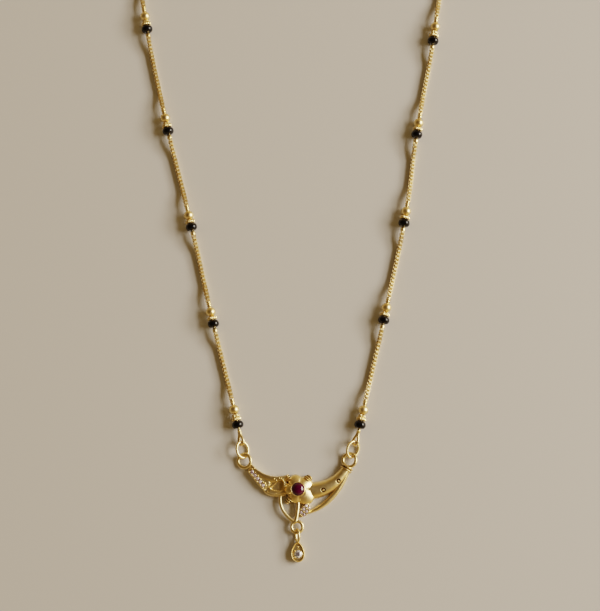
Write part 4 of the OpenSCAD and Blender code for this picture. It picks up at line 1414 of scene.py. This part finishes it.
for side in SIDES:
    links = bmesh.new()
    count = 0
    for k in range(1, CLUSTERS):
        next_way = to_ball(side, k + 1).normalized()
        end = centre(f"bead_{side}_{k + 1}") - next_way * low_end
        path = laid(run_between(*leaving(side, k), end, next_way), AXIS_Z, AXIS_Z)
        count += string_links(links, path, ROLL)
    flip = -1 if side == "left" else 1
    cap_low, cap_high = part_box(f"end_cap_{side}")
    clasp_half = (cap_high.x if flip > 0 else -cap_low.x) / MM
    clasp_y = (cap_low.y + cap_high.y) / 2 / MM
    clasp_z = centre("clasp_hook").z
    back = Vector((flip * (clasp_half + BACK_R), clasp_y - BACK_R, 0))
    path = run_between(*leaving(side, CLUSTERS), back, Vector((0, 1, 0)), steps=120)
    for i in range(1, 61):
        turn = pi / 2 * i / 60
        path.append(Vector((flip * (clasp_half + BACK_R * cos(turn)), back.y + BACK_R * sin(turn), 0)))
    path.append(Vector((flip * (clasp_half - CHAIN_IN_CAP + 0.1), clasp_y, 0)))
    count += string_links(links, laid(path, AXIS_Z, clasp_z, CHAIN_IN_CAP - 0.1), ROLL)
    add_piece(links, f"box_chain_{side}", linked, f"chain_{side}", sharp=50)
    print(side, "chain:", count, "links")

# %% [markdown]
# ## Clasp
#
# Behind the neck an S hook joins two rings. Its ends are rounded off with small balls so that they
# don't scratch. Each chain is glued into a barrel cap with an eye at its end.

# %% Clasp
HOOK_WIRE = 0.9
HOOK_R = 2.0
HOOK_TURN = 50
HOOK_TIP_D = 1.25 * HOOK_WIRE
END_RING_D = 3.6
END_RING_WIRE = 0.5
END_RING_TILT = 45
EYE_D = 2.3
EYE_WIRE = 0.45
CAP_D = 1.8
CAP_LEN = 2.4
# The barrel cap's outline: share of its radius, and distance along it
CAP_LINE = [(0, 0), (0.7, 0), (0.92, 0.08), (1, 0.25), (1, 0.4), (0.93, 0.48), (0.93, 0.6), (1, 0.68),
            (1, 1.72), (0.93, 1.8), (0.93, 1.92), (1, 2.0), (1, 2.3), (0.94, CAP_LEN)]
hook_c = HOOK_R / cos(radians(HOOK_TURN))
end_ring_r = (END_RING_D - END_RING_WIRE) / 2
eye_r = (EYE_D - EYE_WIRE) / 2
end_ring_x = hook_c + HOOK_R - (HOOK_WIRE + END_RING_WIRE) / 2 - 1.3 * PLAY + end_ring_r
eye_x = end_ring_x + end_ring_r - (END_RING_WIRE + EYE_WIRE) / 2 - PLAY + eye_r
cap_x = eye_x + eye_r - 0.1
clasp_at = centre("clasp_hook")

arc = [polar(HOOK_R, -60 - 250 * i / 40) - Vector((hook_c, 0, 0)) for i in range(41)]
hook_path = arc + [-p for p in reversed(arc)]
hook = wire(hook_path, HOOK_WIRE, sides=20)
for tip in (hook_path[0], hook_path[-1]):
    put(hook, ball(HOOK_TIP_D), at(tip))
add_piece(placed(hook, at(clasp_at)), "s_hook", polished, "clasp_hook")

cap_r = CAP_D / 2
bore_r = CHAIN_R + 0.1
cap_line = [(share * cap_r, along) for share, along in CAP_LINE]
cap_line += [(bore_r, CAP_LEN), (bore_r, CHAIN_IN_CAP), (0, CHAIN_IN_CAP)]
for side in SIDES:
    out = at(clasp_at) @ Matrix.Rotation(pi if side == "left" else 0, 4, "Z")
    ring = oval(end_ring_r, end_ring_r, END_RING_WIRE, sides=16)
    lean = at((end_ring_x, 0, 0)) @ Matrix.Rotation(radians(END_RING_TILT), 4, "X")
    add_piece(placed(ring, out @ lean), f"clasp_ring_{side}", polished, f"end_ring_{side}")
    cap = placed(spun(cap_line), at((cap_x, 0, 0)) @ along_pin)
    eye = at((eye_x, 0, 0)) @ Matrix.Rotation(radians(-END_RING_TILT), 4, "X")
    put(cap, oval(eye_r, eye_r, EYE_WIRE, sides=16), eye)
    add_piece(placed(cap, out), f"barrel_cap_{side}", polished, f"end_cap_{side}")
